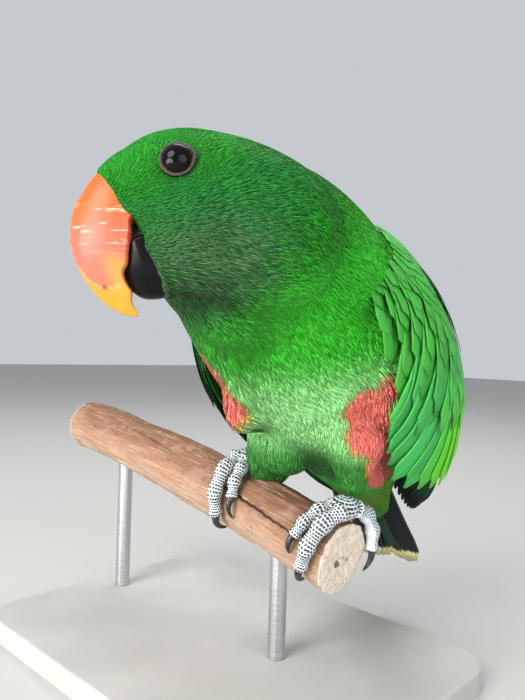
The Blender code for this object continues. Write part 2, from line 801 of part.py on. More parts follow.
def leg_block(side, grow=0.0):
    hip, ankle = hip_of(side), ankle_of(side)
    down = (ankle - hip).normalized()
    across = (BODY_LEFT - down * BODY_LEFT.dot(down)).normalized()
    centre = hip.lerp(ankle, 0.80)
    sizes = (0.040 + 2 * grow, 0.050 + 2 * grow, 0.046 + 2 * grow)
    return block(centre, (across, down.cross(across), down), sizes)


flesh = make_flesh()
perch = make_perch()
perch_room = grown(perch)

bill_upper = make_bill("bill_upper", UPPER_BILL, 17)
bill_lower = make_bill("bill_lower", LOWER_BILL, 11)
upper_room = as_cutter(make_bill("upper_room", UPPER_BILL, 17, GAP))
keep_largest(combine(bill_lower, upper_room, "DIFFERENCE"))
lower_room = grown(bill_lower)

ahead_of_cut = half_space(*HEAD_CUT)
behind_head = half_space(HEAD_CUT[0], HEAD_CUT[1] * -1)
ahead_of_neck = half_space(*NECK_CUT)
behind_neck = half_space(NECK_CUT[0], NECK_CUT[1] * -1)
tail_side = half_space(*TAIL_CUT)
trunk_side = half_space(TAIL_CUT[0], TAIL_CUT[1] * -1)

eyes = [make_eye(1), make_eye(-1)]
feet = {side: make_foot(side) for side in (1, -1)}
foot_rooms = {side: grown(feet[side]) for side in (1, -1)}

head = cut_out("head", flesh, [ahead_of_cut])
join_all(head, [make_lid(1), make_lid(-1)])
for cutter in (upper_room, lower_room, grown(eyes[0]), grown(eyes[1])):
    combine(head, cutter, "DIFFERENCE")
keep_largest(head)
neck = cut_out("neck", flesh, [behind_head, ahead_of_neck])
torso = cut_out("torso", flesh, [behind_head, behind_neck, trunk_side],
                [leg_block(1, GAP), leg_block(-1, GAP)])
legs = {}
for side in (1, -1):
    name = "leg_left" if side > 0 else "leg_right"
    legs[side] = cut_out(name, flesh, [trunk_side, leg_block(side)], [foot_rooms[side]])


tail = cut_out("tail", flesh, [tail_side])
join_all(tail, [tail_vane(side, k) for k in range(TAIL_PAIRS) for side in (1, -1)])
flesh_room = grown(flesh)
tail_room = grown(tail)
wings = []
for side in (1, -1):
    wing = make_wing(side)
    for cutter in (flesh_room, tail_room):
        combine(wing, cutter, "DIFFERENCE")
    wings.append(keep_largest(wing))
claws = [make_claw(side, toe) for side in (1, -1) for toe in TOES]

base = make_base()
rods = [make_rod(name, s, perch_room) for name, s in ROD_PLACES.items()]

GREEN = (0.03, 0.30, 0.03)
PAINTS = [
    ([head, neck], (0.01, 0.20, 0.05), 0.6),
    ([torso, *legs.values()], GREEN, 0.6),
    (wings, (0.04, 0.28, 0.02), 0.55),
    ([tail], (0.06, 0.08, 0.03), 0.55),
    ([bill_upper], (0.80, 0.20, 0.05), 0.3),
    ([bill_lower], (0.02, 0.02, 0.02), 0.3),
    (eyes, (0.01, 0.006, 0.005), 0.05),
    (feet.values(), (0.45, 0.45, 0.42), 0.7),
    (claws, (0.04, 0.04, 0.04), 0.4),
    ([perch], (0.35, 0.20, 0.13), 0.85),
    ([base], (0.42, 0.41, 0.39), 0.6),
    (rods, (0.5, 0.5, 0.5), 0.3),
]
for objects, colour, roughness in PAINTS:
    for obj in objects:
        paint(obj, colour, roughness, 1.0 if obj in rods else 0.0)
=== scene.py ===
# A life-size male eclectus parrot on a cut length of branch, held by a plain display stand.
# Everything is in metres, Z up, with the origin under the middle of the stand's base.
import math

import bpy
import numpy as np
from mathutils import Matrix, Vector
from mathutils.bvhtree import BVHTree


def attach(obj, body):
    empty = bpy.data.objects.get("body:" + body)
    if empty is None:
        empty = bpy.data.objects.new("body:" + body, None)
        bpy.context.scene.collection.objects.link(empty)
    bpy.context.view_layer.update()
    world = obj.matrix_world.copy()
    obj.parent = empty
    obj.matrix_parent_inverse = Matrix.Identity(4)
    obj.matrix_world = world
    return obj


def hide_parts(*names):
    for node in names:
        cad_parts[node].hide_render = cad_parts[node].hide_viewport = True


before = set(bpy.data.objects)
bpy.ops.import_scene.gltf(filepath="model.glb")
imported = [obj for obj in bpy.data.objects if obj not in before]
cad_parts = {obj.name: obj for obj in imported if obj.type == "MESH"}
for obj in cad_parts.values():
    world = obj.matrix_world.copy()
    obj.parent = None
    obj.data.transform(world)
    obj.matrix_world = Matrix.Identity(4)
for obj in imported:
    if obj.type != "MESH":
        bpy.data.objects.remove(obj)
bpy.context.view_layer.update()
print("stage: frame loaded, nodes:", len(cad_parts))

# Where the bird stands and how it holds itself, the same as in the solids
pose = {
    "perchPoint": np.array((0.035, 0.0, 0.068)),
    "bodyShift": 0.018,
    "bodyYaw": 13.0,
    "headCentre": np.array((0.081, -0.101, 0.199)),
    "headYaw": -36.0,
    "headPitch": -20.0,
    "footPlaces": {"left": 0.031, "right": -0.027},
    "eyeAhead": 1.0, "eyeOut": 14.5,  # millimetres from the head's centre
}
sideSign = {"left": 1, "right": -1}


def unit(v):
    return v / np.maximum(np.linalg.norm(v, axis=-1, keepdims=True), 1e-12)


def facing(yaw, pitch):  # forward, left and up of something that faces -Y
    yaw, pitch = math.radians(yaw), math.radians(pitch)
    flat = np.array((math.sin(yaw), -math.cos(yaw), 0.0))
    up = np.array((0.0, 0.0, 1.0))
    left = np.array((math.cos(yaw), math.sin(yaw), 0.0))
    return flat * math.cos(pitch) + up * math.sin(pitch), left, up * math.cos(pitch) - flat * math.sin(pitch)


bodyAhead, bodyLeft, bodyUp = facing(pose["bodyYaw"], 0)
bodyOrigin = pose["perchPoint"] + np.array((pose["bodyShift"], 0, 0))
headAxes = np.array(facing(pose["headYaw"], pose["headPitch"]))


def column(v):
    return np.asarray(v, dtype=float)[..., None]


def inBody(ahead, left, up):
    return bodyOrigin + column(ahead) * bodyAhead + column(left) * bodyLeft + column(up) * bodyUp


def inHead(ahead, left, up):  # millimetres from the point between the eyes
    return pose["headCentre"] + (column(ahead) * headAxes[0] + column(left) * headAxes[1]
                                 + column(up) * headAxes[2]) * 0.001


def headPlace(p):  # the other way round: ahead, left and up in millimetres
    return (p - pose["headCentre"]) @ headAxes.T * 1000


def bodyPlace(p):
    return (p - bodyOrigin) @ np.array((bodyAhead, bodyLeft, bodyUp)).T


eyeCentre = {side: inHead(pose["eyeAhead"], sign * pose["eyeOut"], 0.0) for side, sign in sideSign.items()}


def between(rows, t):  # a smooth curve through rows of numbers, t counted in rows
    rows, t = np.asarray(rows, dtype=float), np.asarray(t, dtype=float)
    i = np.clip(np.floor(t).astype(int), 0, len(rows) - 2)
    f = (t - i)[..., None]
    p0, p1, p2 = rows[np.maximum(i - 1, 0)], rows[i], rows[i + 1]
    p3 = rows[np.minimum(i + 2, len(rows) - 1)]
    return 0.5 * (2 * p1 + (p2 - p0) * f + (2 * p0 - 5 * p1 + 4 * p2 - p3) * f ** 2
                  + (3 * p1 - p0 - 3 * p2 + p3) * f ** 3)


def ease(t):
    t = np.clip(t, 0.0, 1.0)
    return t * t * (3 - 2 * t)


def blob(p, centre, size):  # 1 at the centre, falling away to nothing at about twice the size
    return np.exp(-(((p - centre) / size) ** 2).sum(-1))


def grain(p, seed):  # smooth random numbers from 0 to 1 through space
    cell = np.floor(p).astype(np.int64)
    f = p - cell
    f = f * f * (3 - 2 * f)
    total = np.zeros(len(p))
    for corner in range(8):
        d = np.array([(corner >> k) & 1 for k in range(3)])
        c = cell + d
        bits = c[:, 0] * 374761393 + c[:, 1] * 668265263 + c[:, 2] * 2147483647 + seed * 974634777
        bits = bits & 0x7FFFFFFF
        bits = ((bits ^ (bits >> 13)) * 1274126177) & 0x7FFFFFFF
        value = ((bits ^ (bits >> 16)) & 0xFFFF) / 65535.0
        total += value * np.prod(np.where(d, f, 1 - f), axis=1)
    return total


def closed(v, power):  # 1 along the middle of a sheet, and down to 0 at both ends
    return np.sqrt(np.clip(1 - np.abs(2 * v - 1) ** power, 0, 1))


def onBall(u, v):  # the three parts of a direction, with v from pole to pole
    far, turn = math.pi * v, 2 * math.pi * u
    return np.sin(far) * np.cos(turn), np.sin(far) * np.sin(turn), np.cos(far)


# The trunk's middle line and form, as in the solids: ahead, up, half width, half height
trunkForm = np.array([
    (0.068, 0.120, 0.029, 0.029), (0.047, 0.108, 0.039, 0.033), (0.022, 0.095, 0.045, 0.038),
    (-0.004, 0.077, 0.045, 0.039), (-0.026, 0.056, 0.039, 0.034), (-0.044, 0.032, 0.028, 0.021),
    (-0.058, 0.013, 0.019, 0.012), (-0.078, -0.008, 0.018, 0.008), (-0.094, -0.024, 0.017, 0.006),
    (-0.108, -0.038, 0.015, 0.004),
])
wingForm = np.vstack([trunkForm[:2], [
    (0.022, 0.095, 0.047, 0.038), (-0.004, 0.077, 0.051, 0.040), (-0.026, 0.056, 0.050, 0.035),
    (-0.044, 0.032, 0.043, 0.026), (-0.058, 0.013, 0.033, 0.018), (-0.078, -0.008, 0.024, 0.011),
    (-0.094, -0.024, 0.019, 0.008), (-0.108, -0.038, 0.016, 0.006),
]])
formLength = np.concatenate([[0], np.cumsum(np.hypot(*np.diff(trunkForm[:, :2], axis=0).T))])

# Along each wing: distance back, lowest and highest angle round the body, thickness
wingRows = {
    "left": np.array([
        (0.012, 8.0, 38.0, 0.0030), (0.024, -12.0, 56.0, 0.0062), (0.046, -30.0, 68.0, 0.0080),
        (0.072, -43.0, 74.0, 0.0078), (0.100, -51.0, 77.0, 0.0066), (0.126, -54.0, 79.0, 0.0056),
        (0.150, -50.0, 79.0, 0.0052), (0.176, -10.0, 78.0, 0.0050), (0.200, 26.0, 74.0, 0.0048)]),
    "right": np.array([
        (0.012, 14.0, 38.0, 0.0030), (0.024, 10.0, 56.0, 0.0050), (0.046, 4.0, 68.0, 0.0068),
        (0.072, -14.0, 74.0, 0.0078), (0.100, -34.0, 77.0, 0.0090), (0.126, -30.0, 79.0, 0.0064),
        (0.150, -26.0, 79.0, 0.0052), (0.176, -10.0, 78.0, 0.0050), (0.200, 26.0, 74.0, 0.0048)]),
}


def formAt(x, form=trunkForm):
    return between(form, np.interp(x, formLength, np.arange(len(form))))


def onBody(x, angle, lift, side, form=wingForm):
    row = formAt(x, form)
    step = formAt(np.asarray(x) + 0.002, form) - formAt(np.asarray(x) - 0.002, form)
    size = np.hypot(step[..., 0], step[..., 1])
    backA, backZ = step[..., 0] / size, step[..., 1] / size
    c, s = np.cos(np.radians(angle)), np.sin(np.radians(angle))
    rise = (row[..., 3] + lift) * s
    half = sideSign[side] * (row[..., 2] + lift) * c
    return inBody(row[..., 0] + backZ * rise, half, row[..., 1] - backA * rise)


def wingRow(x, side):
    return between(wingRows[side], np.interp(x, wingRows[side][:, 0], np.arange(len(wingRows[side]))))


def wingThickness(x, angle, side):
    row = wingRow(x, side)
    t = np.clip((angle - row[..., 1]) / (row[..., 2] - row[..., 1]), 0, 1)
    dome = (1 - np.abs(2 * t - 1) ** 2.6) ** 0.6
    return row[..., 3] * (dome + (0.85 - dome) * ease((np.asarray(x) - 0.112) / 0.03))


def onWing(x, angle, lift, side):
    return onBody(x, angle, wingThickness(x, angle, side) + lift, side)


def selectOnly(*objects):
    bpy.ops.object.select_all(action="DESELECT")
    for obj in objects:
        obj.select_set(True)
    bpy.context.view_layer.objects.active = objects[0]


def addObject(name, data):
    obj = bpy.data.objects.new(name, data)
    bpy.context.scene.collection.objects.link(obj)
    return obj


def joinAs(name, parts):
    selectOnly(*parts)
    bpy.ops.object.join()
    obj = bpy.context.object
    obj.name = obj.data.name = name
    return obj


def editWhole(obj, *steps):  # runs operators on all of an object's mesh
    selectOnly(obj)
    bpy.ops.object.mode_set(mode="EDIT")
    bpy.ops.mesh.select_all(action="SELECT")
    for step in steps:
        step()
    bpy.ops.object.mode_set(mode="OBJECT")


def mergeDoubles():
    bpy.ops.mesh.remove_doubles(threshold=2e-6)


def turnOutward():
    bpy.ops.mesh.normals_make_consistent(inside=False)


def unwrap():
    bpy.ops.uv.smart_project(angle_limit=math.radians(70), island_margin=0.004)


def vertexPlaces(obj):
    co = np.empty(len(obj.data.vertices) * 3)
    obj.data.vertices.foreach_get("co", co)
    return co.reshape(-1, 3)


# A sheet of faces that is rolled or bent into shape: place(u, v) gives points, u and v from 0 to 1
def shapedSheet(name, across, along, place):
    bpy.ops.object.select_all(action="DESELECT")
    bpy.ops.mesh.primitive_grid_add(x_subdivisions=across, y_subdivisions=along, size=1.0)
    obj = bpy.context.object
    obj.name = obj.data.name = name
    flat = vertexPlaces(obj) + 0.5
    obj.data.vertices.foreach_set("co", np.asarray(place(flat[:, 0], flat[:, 1])).ravel())
    editWhole(obj, mergeDoubles, turnOutward)
    bpy.ops.object.shade_smooth()
    return obj


def setAttribute(obj, name, values, kind="FLOAT_VECTOR"):
    layer = obj.data.attributes.new(name, kind, "POINT")
    field = {"FLOAT": "value", "FLOAT_COLOR": "color", "FLOAT_VECTOR": "vector"}[kind]
    layer.data.foreach_set(field, np.asarray(values, dtype=np.float32).ravel())


def trianglesOf(obj):  # the corners of each triangle, and their places on the unwrap
    mesh = obj.data
    mesh.calc_loop_triangles()
    corners, loops = np.empty((2, len(mesh.loop_triangles) * 3), np.int32)
    mesh.loop_triangles.foreach_get("vertices", corners)
    mesh.loop_triangles.foreach_get("loops", loops)
    uv = np.empty(len(mesh.loops) * 2)
    mesh.uv_layers["OFBake"].data.foreach_get("uv", uv)
    return corners.reshape(-1, 3), uv.reshape(-1, 2)[loops.reshape(-1, 3)]


# The trunk's middle line in small steps, to find the nearest part of it
trunkSamples = np.linspace(0, formLength[-1], 90)
trunkLine = formAt(trunkSamples)[:, :2]
trunkBack = unit(formAt(trunkSamples + 0.003)[:, :2] - formAt(trunkSamples - 0.003)[:, :2])


def nearestSample(body):
    return ((body[:, None, (0, 2)] - trunkLine[None]) ** 2).sum(-1).argmin(1)


def aboveMiddle(body):
    return body[:, 2] - np.interp(-body[:, 0], -trunkForm[:, 0], trunkForm[:, 1])


neckPlane = {"through": (-9, 0, -20), "facing": (0.66, 0.25, 0.75)}  # between head and neck


def towardsHead(p):  # how far a point is on the head's side of that plane
    return (p - inHead(*neckPlane["through"])) @ unit(inHead(*neckPlane["facing"]) - pose["headCentre"])


def legness(body, top, fade, back, along):  # 1 on the legs, easing to 0 above and behind them
    return ease((top - body[:, 2]) / fade) * ease((body[:, 0] + back) / along)


# Colours of the coat, linear, the belly's with a painted sheen. What is green in life is a mix of these by
# place
plumage = {
    "crown": (0.015, 0.270, 0.018),
    "cheek": (0.008, 0.160, 0.018),
    "chin": (0.032, 0.120, 0.032),
    "nape": (0.012, 0.210, 0.006),
    "mantle": (0.036, 0.340, 0.008),
    "breast": (0.044, 0.560, 0.026),
    # the belly's own lime green, whitened further as a painted sheen
    "limeBellyAndSheen": (0.400, 0.960, 0.340),
    "rump": (0.040, 0.330, 0.020),
    "leg": (0.028, 0.220, 0.022),
    "undertail": (0.120, 0.300, 0.020),
    "flank": (0.950, 0.215, 0.170),
    "mix": (0.420, 0.260, 0.030),
}
flankPatches = [  # red under each wing: centre in the body's frame (ahead, left, up) and size
    ((0.020, 0.040, 0.073), 0.0070), ((0.022, 0.032, 0.062), 0.0092), ((0.012, 0.031, 0.052), 0.0104),
    ((-0.004, 0.028, 0.042), 0.0104), ((-0.020, 0.021, 0.032), 0.0090), ((-0.032, 0.018, 0.024), 0.0065),
    ((0.044, -0.030, 0.074), 0.0110), ((0.032, -0.031, 0.062), 0.0140), ((0.020, -0.036, 0.051), 0.0120),
]


def coatColour(p):
    head, body = headPlace(p), bodyPlace(p)
    height, towards = aboveMiddle(body), towardsHead(p)
    below = 0.085 - body[:, 2] - 0.35 * (body[:, 0] - 0.02)
    headness = ease((towards + 0.020) / 0.024)
    chin = np.exp(-((head[:, 0] - 6) / 19) ** 2 - ((head[:, 2] + 27) / 11) ** 2)
    near = np.max([blob(body, np.array(centre), size) for centre, size in flankPatches], axis=0)
    near = near + (grain(p * 700, 12) - 0.5) * 0.18
    layers = (  # how much of each, over the ones before it
        # low on the body: lime green with a painted sheen
        ("limeBellyAndSheen", ease((below + 0.010) / 0.030) * ease((body[:, 0] + 0.030) / 0.03)),
        ("mantle", ease((height - 0.004) / 0.018)),
        ("rump", ease((-body[:, 0] - 0.020) / 0.02) * ease(height / 0.01)),
        ("undertail", ease((-body[:, 0] - 0.028) / 0.02) * ease((0.004 - height) / 0.012)),
        ("nape", ease((towards + 0.044) / 0.030) * ease((head[:, 2] + 46) / 16)),
        ("crown", headness * ease((head[:, 2] + 4) / 14)),
        ("cheek", headness * ease((2 - head[:, 2]) / 12)),
        ("chin", 1.7 * chin),
        ("leg", legness(body, 0.050, 0.014, 0.030, 0.010) * 0.95),
        ("mix", ease((near - 0.24) / 0.12)),
        ("flank", ease((near - 0.33) / 0.08)),
    )
    colour = np.tile(np.array(plumage["breast"]), (len(p), 1))
    for target, amount in layers:
        colour = colour + (np.array(plumage[target]) - colour) * np.clip(amount, 0, 1)[:, None]
    return colour


# The skin: merged copies of the flesh, with a fill behind the head, tufts, the rump, the wings' inner mass
# and the feather covers of the bill, as one smooth form
skinSettings = {
    "voxel": 0.0013,
    "smoothing": 10,
    "depth": 0.0014,  # of the coat above it
    "fleshNodes": ("head", "neck", "torso", "leg_left", "leg_right"),
    "rumpFlat": -0.0055,
    "wing": {"start": 0.016, "end": 0.150, "sink": 0.0022},
    "eyeRoom": {"outer": 0.0078, "fade": 0.0022, "radius": 0.0044},
    "mantle": np.array([  # between head and shoulders: ahead, up, half width, half height
        (0.100, 0.114, 0.028, 0.018), (0.083, 0.119, 0.041, 0.026), (0.064, 0.117, 0.0450, 0.031),
        (0.044, 0.108, 0.0475, 0.036), (0.024, 0.096, 0.0440, 0.036)]),
    "tufts": [  # on the far flank and at the far leg: centre and radii in the body's frame
        ((0.024, -0.021, 0.062), (0.0115, 0.0088, 0.0165)), ((-0.012, -0.028, 0.031), (0.014, 0.012, 0.015)),
        ((-0.004, -0.016, 0.036), (0.016, 0.014, 0.012))],
}


def ringPlace(row, step, half, rise):  # a point beside and above the middle line
    size = np.hypot(step[:, 0], step[:, 1])
    return inBody(row[:, 0] + step[:, 1] / size * rise, half, row[:, 1] - step[:, 0] / size * rise)


def rumpPlace(u, v):
    x = formLength[4] + (formLength[7] - formLength[4]) * v
    lift = skinSettings["rumpFlat"] * ease((x - formLength[5]) / (formLength[7] - formLength[5]))
    row, turn = formAt(x), 2 * math.pi * u
    half, rise = ((row[:, k] + lift) * wave(turn) * closed(v, 8) for k, wave in ((2, np.cos), (3, np.sin)))
    return ringPlace(row, formAt(x + 0.002) - formAt(x - 0.002), half, rise)


def mantlePlace(u, v):
    rows, turn = skinSettings["mantle"], 2 * math.pi * u
    t = v * (len(rows) - 1)
    row = between(rows, t)
    rise = row[:, 3] * (np.maximum(np.sin(turn), 0) + 0.7 * np.minimum(np.sin(turn), 0)) * closed(v, 6)
    return ringPlace(row, between(rows, t + 0.05) - between(rows, t - 0.05),
                     row[:, 2] * np.cos(turn) * closed(v, 6), rise)


def tuftPlace(centre, radii):
    def place(u, v):
        return inBody(*(middle + radius * part for middle, radius, part in zip(centre, radii, onBall(u, v))))
    return place


def wingMassPlace(side):
    mass = skinSettings["wing"]

    def place(u, v):
        x = mass["start"] + (mass["end"] - mass["start"]) * v
        row = wingRow(x, side)
        turn = 2 * math.pi * u
        reach = 4 - 7 * ease((x - 0.088) / 0.020)  # degrees past the wing's edges
        middle, half = (row[:, 1] + row[:, 2]) / 2, (row[:, 2] - row[:, 1]) / 2 + reach
        angle = middle + half * np.cos(turn) * closed(v, 6)
        offEdge = np.maximum(ease((angle - row[:, 1] - 4) / 12), ease((x - 0.085) / 0.02))
        sink = mass["sink"] * (1.25 * (ease((x - 0.046) / 0.030) * offEdge) - 0.25)
        top = np.maximum(wingThickness(x, angle, side) - sink, 0.0002)
        bottom = formAt(x)[:, 2] - formAt(x, wingForm)[:, 2] - 0.003
        bottom = bottom + (-0.0024 - bottom) * ease((x - 0.108) / 0.02)
        level = (top + bottom) / 2 + (top - bottom) / 2 * np.sin(turn) * closed(v, 6)
        return onBody(x, angle, level, side)
    return place


# Rows of the bill in millimetres: ridge ahead, ridge up, edge ahead, edge up, half width
upperBill = np.array([
    (14.0, 11.0, 10.0, -7.0, 8.2), (23.0, 6.2, 17.2, -8.6, 9.0), (27.9, 2.4, 18.9, -11.7, 9.4),
    (31.6, -1.4, 20.4, -14.8, 9.1), (34.4, -7.0, 21.7, -17.4, 8.4), (35.7, -13.2, 22.8, -20.2, 7.4),
    (35.2, -19.0, 24.6, -22.4, 6.2), (33.9, -24.0, 24.6, -25.6, 5.0), (31.4, -29.2, 23.9, -28.2, 3.8),
    (28.0, -33.2, 24.5, -31.2, 2.3), (23.8, -35.6, 23.6, -34.6, 0.5),
])
lowerBill = np.array([
    (9.0, -31.0, 11.0, -18.0, 8.0), (14.0, -32.4, 14.0, -15.5, 8.6), (18.0, -32.0, 18.2, -15.5, 8.2),
    (21.2, -30.6, 20.2, -17.0, 7.0), (23.2, -28.0, 21.6, -18.8, 5.6), (24.4, -25.0, 22.6, -20.4, 4.4),
    (24.9, -22.8, 23.6, -21.8, 2.6),
])


def onBill(rows, t, turn, lift=0.0):  # lift in millimetres off the horn
    row = between(rows, t)
    long = np.hypot(row[:, 0] - row[:, 2], row[:, 1] - row[:, 3])
    high, low = np.maximum(np.sin(turn), 0) ** 0.9, np.minimum(np.sin(turn), 0) * 0.1
    reach = high * (1 + lift / long) + low * (1 + 10 * lift / long)
    half = (row[:, 4] + lift) * np.cos(turn)
    return row[:, 2] + (row[:, 0] - row[:, 2]) * reach, half, row[:, 3] + (row[:, 1] - row[:, 3]) * reach


def towardsMiddle(ahead, left, up, middle, share):  # a share of 1 leaves the point where it is
    return inHead(middle[:, 0] + (ahead - middle[:, 0]) * share, left * share,
                  middle[:, 1] + (up - middle[:, 1]) * share)


# Feathered flesh that runs out over the base of each half of the bill: how many rows it covers, how much
# further it reaches at the edges, and how wide that is
coverSettings = {"lift": 2.0, "upper": (upperBill, 1.15, 0.5, 0.34), "lower": (lowerBill, 1.55, 0.45, 0.30)}


def coverPlace(rows, reach, extra, width):
    def place(u, v):
        turn = 2 * math.pi * u
        toEdge = np.minimum(np.minimum(turn, np.abs(turn - math.pi)), 2 * math.pi - turn)
        end = reach + extra * np.exp(-(toEdge / width) ** 2)
        ahead, left, up = onBill(rows, end * v, turn, coverSettings["lift"])
        row = between(rows, end * v)
        return towardsMiddle(ahead, left, up, (row[:, :2] + row[:, 2:4]) / 2, closed(v, 10))
    return place


def keepLargest(obj):  # drops loose scraps
    selectOnly(obj)
    bpy.ops.mesh.separate(type="LOOSE")
    pieces = sorted(bpy.context.selected_objects, key=lambda o: len(o.data.vertices))
    for scrap in pieces[:-1]:
        if scrap != obj:
            bpy.data.objects.remove(scrap)
    if pieces[-1] != obj:
        obj.data = pieces[-1].data
        bpy.data.objects.remove(pieces[-1])
    selectOnly(obj)


def buildSkin():
    parts = [shapedSheet("mantlePart", 48, 24, mantlePlace)]
    parts += [shapedSheet("tuftPart", 24, 16, tuftPlace(*tuft)) for tuft in skinSettings["tufts"]]
    for half in ("upper", "lower"):
        parts.append(shapedSheet("coverPart", 48, 16, coverPlace(*coverSettings[half])))
    parts += [addObject("skinPart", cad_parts[node].data.copy()) for node in skinSettings["fleshNodes"]]
    parts.append(shapedSheet("rumpPart", 32, 20, rumpPlace))
    parts += [shapedSheet("wingPart", 32, 40, wingMassPlace(side)) for side in sideSign]
    made = joinAs("plumage_skin", parts)
    made.data.materials.clear()
    editWhole(made, mergeDoubles)
    voxel = made.modifiers.new("voxels", "REMESH")
    voxel.mode, voxel.voxel_size = "VOXEL", skinSettings["voxel"]
    even = made.modifiers.new("even", "SMOOTH")
    even.iterations = skinSettings["smoothing"]
    under = made.modifiers.new("under", "DISPLACE")
    under.mid_level, under.strength = 0, -skinSettings["depth"]
    for modifier in ("voxels", "even", "under"):
        bpy.ops.object.modifier_apply(modifier=modifier)
    keepLargest(made)
    co, room = vertexPlaces(made), skinSettings["eyeRoom"]
    for centre in eyeCentre.values():  # the flesh stays behind each eyeball and its lids
        away = co - centre
        far = np.linalg.norm(away, axis=1)
        pull = ease((room["outer"] - far) / room["fade"])[:, None]
        co -= unit(away) * pull * np.maximum(far - room["radius"], 0)[:, None]
    made.data.vertices.foreach_set("co", co.ravel())
    bpy.ops.object.shade_smooth()
    editWhole(made, unwrap)
    made.data.uv_layers[0].name = "OFBake"
    return made


skin = buildSkin()
print("stage: skin, vertices:", len(skin.data.vertices))


# Which way the feathers lie: away from the bill, then back along the trunk, and down on the legs
def lieOfCoat(p):
    body = bodyPlace(p)
    fromBill = unit(p - inHead(24, 0, -7))
    back = trunkBack[nearestSample(body)]
    alongTrunk = back[:, :1] * bodyAhead + back[:, 1:] * bodyUp
    way = fromBill + (alongTrunk - fromBill) * ease((0.004 - towardsHead(p)) / 0.040)[:, None]
    low = legness(body, 0.058, 0.020, 0.026, 0.012)
    down = np.tile((0.0, 0.10, -1.0), (len(p), 1))
    return unit(way + (down - way) * low[:, None])


def walk(tree, start, way, reach):  # steps along the surface, and gives points and normals
    points, normals = np.empty_like(start), np.empty_like(start)
    goal = start + way * reach[:, None]
    for i, g in enumerate(goal):
        place, normal, _, _ = tree.find_nearest(Vector(g))
        points[i], normals[i] = place, normal
    return points, normals


# Many feathers in one mesh. Each bends through three points, with rows along it and columns across
def featherTop(ends, normals, width, style, rng):  # points, normals, and how far along and across they are
    size = (len(width), style["rows"], style["columns"])
    t, u = np.linspace(0, 1, size[1])[None, :, None], np.linspace(-1, 1, size[2])[None, None, :]
    shape = np.interp(np.linspace(0, 1, size[1]), *zip(*style["shape"]))[None, :, None]
    ragged = 1 - style["rounding"] * np.abs(u) ** 2.2 * t ** 3
    if "fray" in style:
        ragged = ragged - style["fray"] * rng.random((size[0], 1, size[2])) * t ** 3
    s, u = (np.broadcast_to(part, size)[..., None] for part in (t * ragged, u))
    p0, p1, p2, n0, n2 = (e[:, None, None, :] for e in (*ends, *normals))
    control = 2 * p1 - (p0 + p2) / 2  # so that the curve passes through the middle point
    middle = p0 * (1 - s) ** 2 + 2 * control * s * (1 - s) + p2 * s ** 2
    tangent = unit(2 * (1 - s) * (control - p0) + 2 * s * (p2 - control))
    normal = unit(n0 + (n2 - n0) * s)
    sideways = unit(np.cross(tangent, normal))
    half = (width[:, None, None] / 2 * shape)[..., None]
    rib = style.get("rib", 0.0) * np.exp(-(u / 0.12) ** 2) * (1 - s * 0.7)
    rise = style["camber"] * (1 - u ** 2) * half + rib + style.get("lean", 0.0) * half * u
    return middle + sideways * half * u + normal * rise, normal, s, u


def featherFaces(rows, columns):  # of one feather: quads on both sides, and a cap at each end
    upper = np.arange(rows * columns).reshape(rows, columns)
    inner = rows * columns + np.arange(rows * (columns - 2)).reshape(rows, columns - 2)
    if columns == 3:
        inner = inner[:, :0]  # the underside spans from edge to edge
    under = np.concatenate([upper[:, :1], inner, upper[:, -1:]], 1)
    quads = [np.stack([upper[:-1, :-1], upper[:-1, 1:], upper[1:, 1:], upper[1:, :-1]], -1).reshape(-1, 4),
             np.stack([under[:-1, :-1], under[1:, :-1], under[1:, 1:], under[:-1, 1:]], -1).reshape(-1, 4)]
    caps = [np.concatenate([inner[0], upper[0][::-1]]), np.concatenate([upper[-1], inner[-1][::-1]])]
    return np.concatenate(quads), np.array(caps)


patchSize = 0.003  # of each feather's patch on the unwrap


def featherMesh(name, ends, normals, width, style, colour, uv, rng):
    count, rows, columns = len(width), style["rows"], style["columns"]
    top, normal, along, across = featherTop(ends, normals, width, style, rng)
    sides = [(top, along, across)]
    if columns > 3:  # an underside of its own, thinner towards the tip
        inner = np.s_[:, :, 1:-1]
        low = top[inner] - normal[inner] * style["thick"] * (1 - 0.6 * along[inner])
        sides.append((low, along[inner], across[inner]))
    points, along, across = (np.concatenate([part.reshape(count, -1, part.shape[-1]) for part in parts], 1)
                             for parts in zip(*sides))
    per = points.shape[1]
    base = (np.arange(count) * per)[:, None, None]
    quads, caps = ((faces[None] + base).reshape(-1, faces.shape[1]) for faces in featherFaces(rows, columns))
    loops = np.concatenate([quads.ravel(), caps.ravel()])
    sizes = np.repeat((4, caps.shape[1]), (len(quads), len(caps)))
    mesh = bpy.data.meshes.new(name)
    mesh.vertices.add(count * per)
    mesh.vertices.foreach_set("co", points.astype(np.float32).ravel())
    mesh.loops.add(len(loops))
    mesh.loops.foreach_set("vertex_index", loops.astype(np.int32))
    mesh.polygons.add(len(sizes))
    mesh.polygons.foreach_set("loop_start", (np.cumsum(sizes) - sizes).astype(np.int32))
    mesh.update(calc_edges=True)
    obj = addObject(name, mesh)
    # Where each point is on its feather: across, along, and a number of the feather's own
    own = np.broadcast_to(rng.random((count, 1, 1)), across.shape)
    setAttribute(obj, "vane", np.concatenate([across, along, own], -1))
    if columns > 3:
        upper = np.repeat((1.0, 0.0), (rows * columns, rows * (columns - 2)))
        setAttribute(obj, "upper", np.tile(upper, count), "FLOAT")
    tint = np.concatenate([np.broadcast_to(colour[:, None, :], (count, per, 3)), np.ones((count, per, 1))], -1)
    setAttribute(obj, "coat", tint, "FLOAT_COLOR")
    patch = uv[:, None, :] + np.concatenate([across * patchSize / 2, (along - 0.5) * patchSize], -1)
    layer = mesh.uv_layers.new(name="OFBake")
    layer.data.foreach_set("uv", patch.reshape(-1, 2)[loops].astype(np.float32).ravel())
    mesh.polygons.foreach_set("use_smooth", np.ones(len(sizes), bool))
    return obj


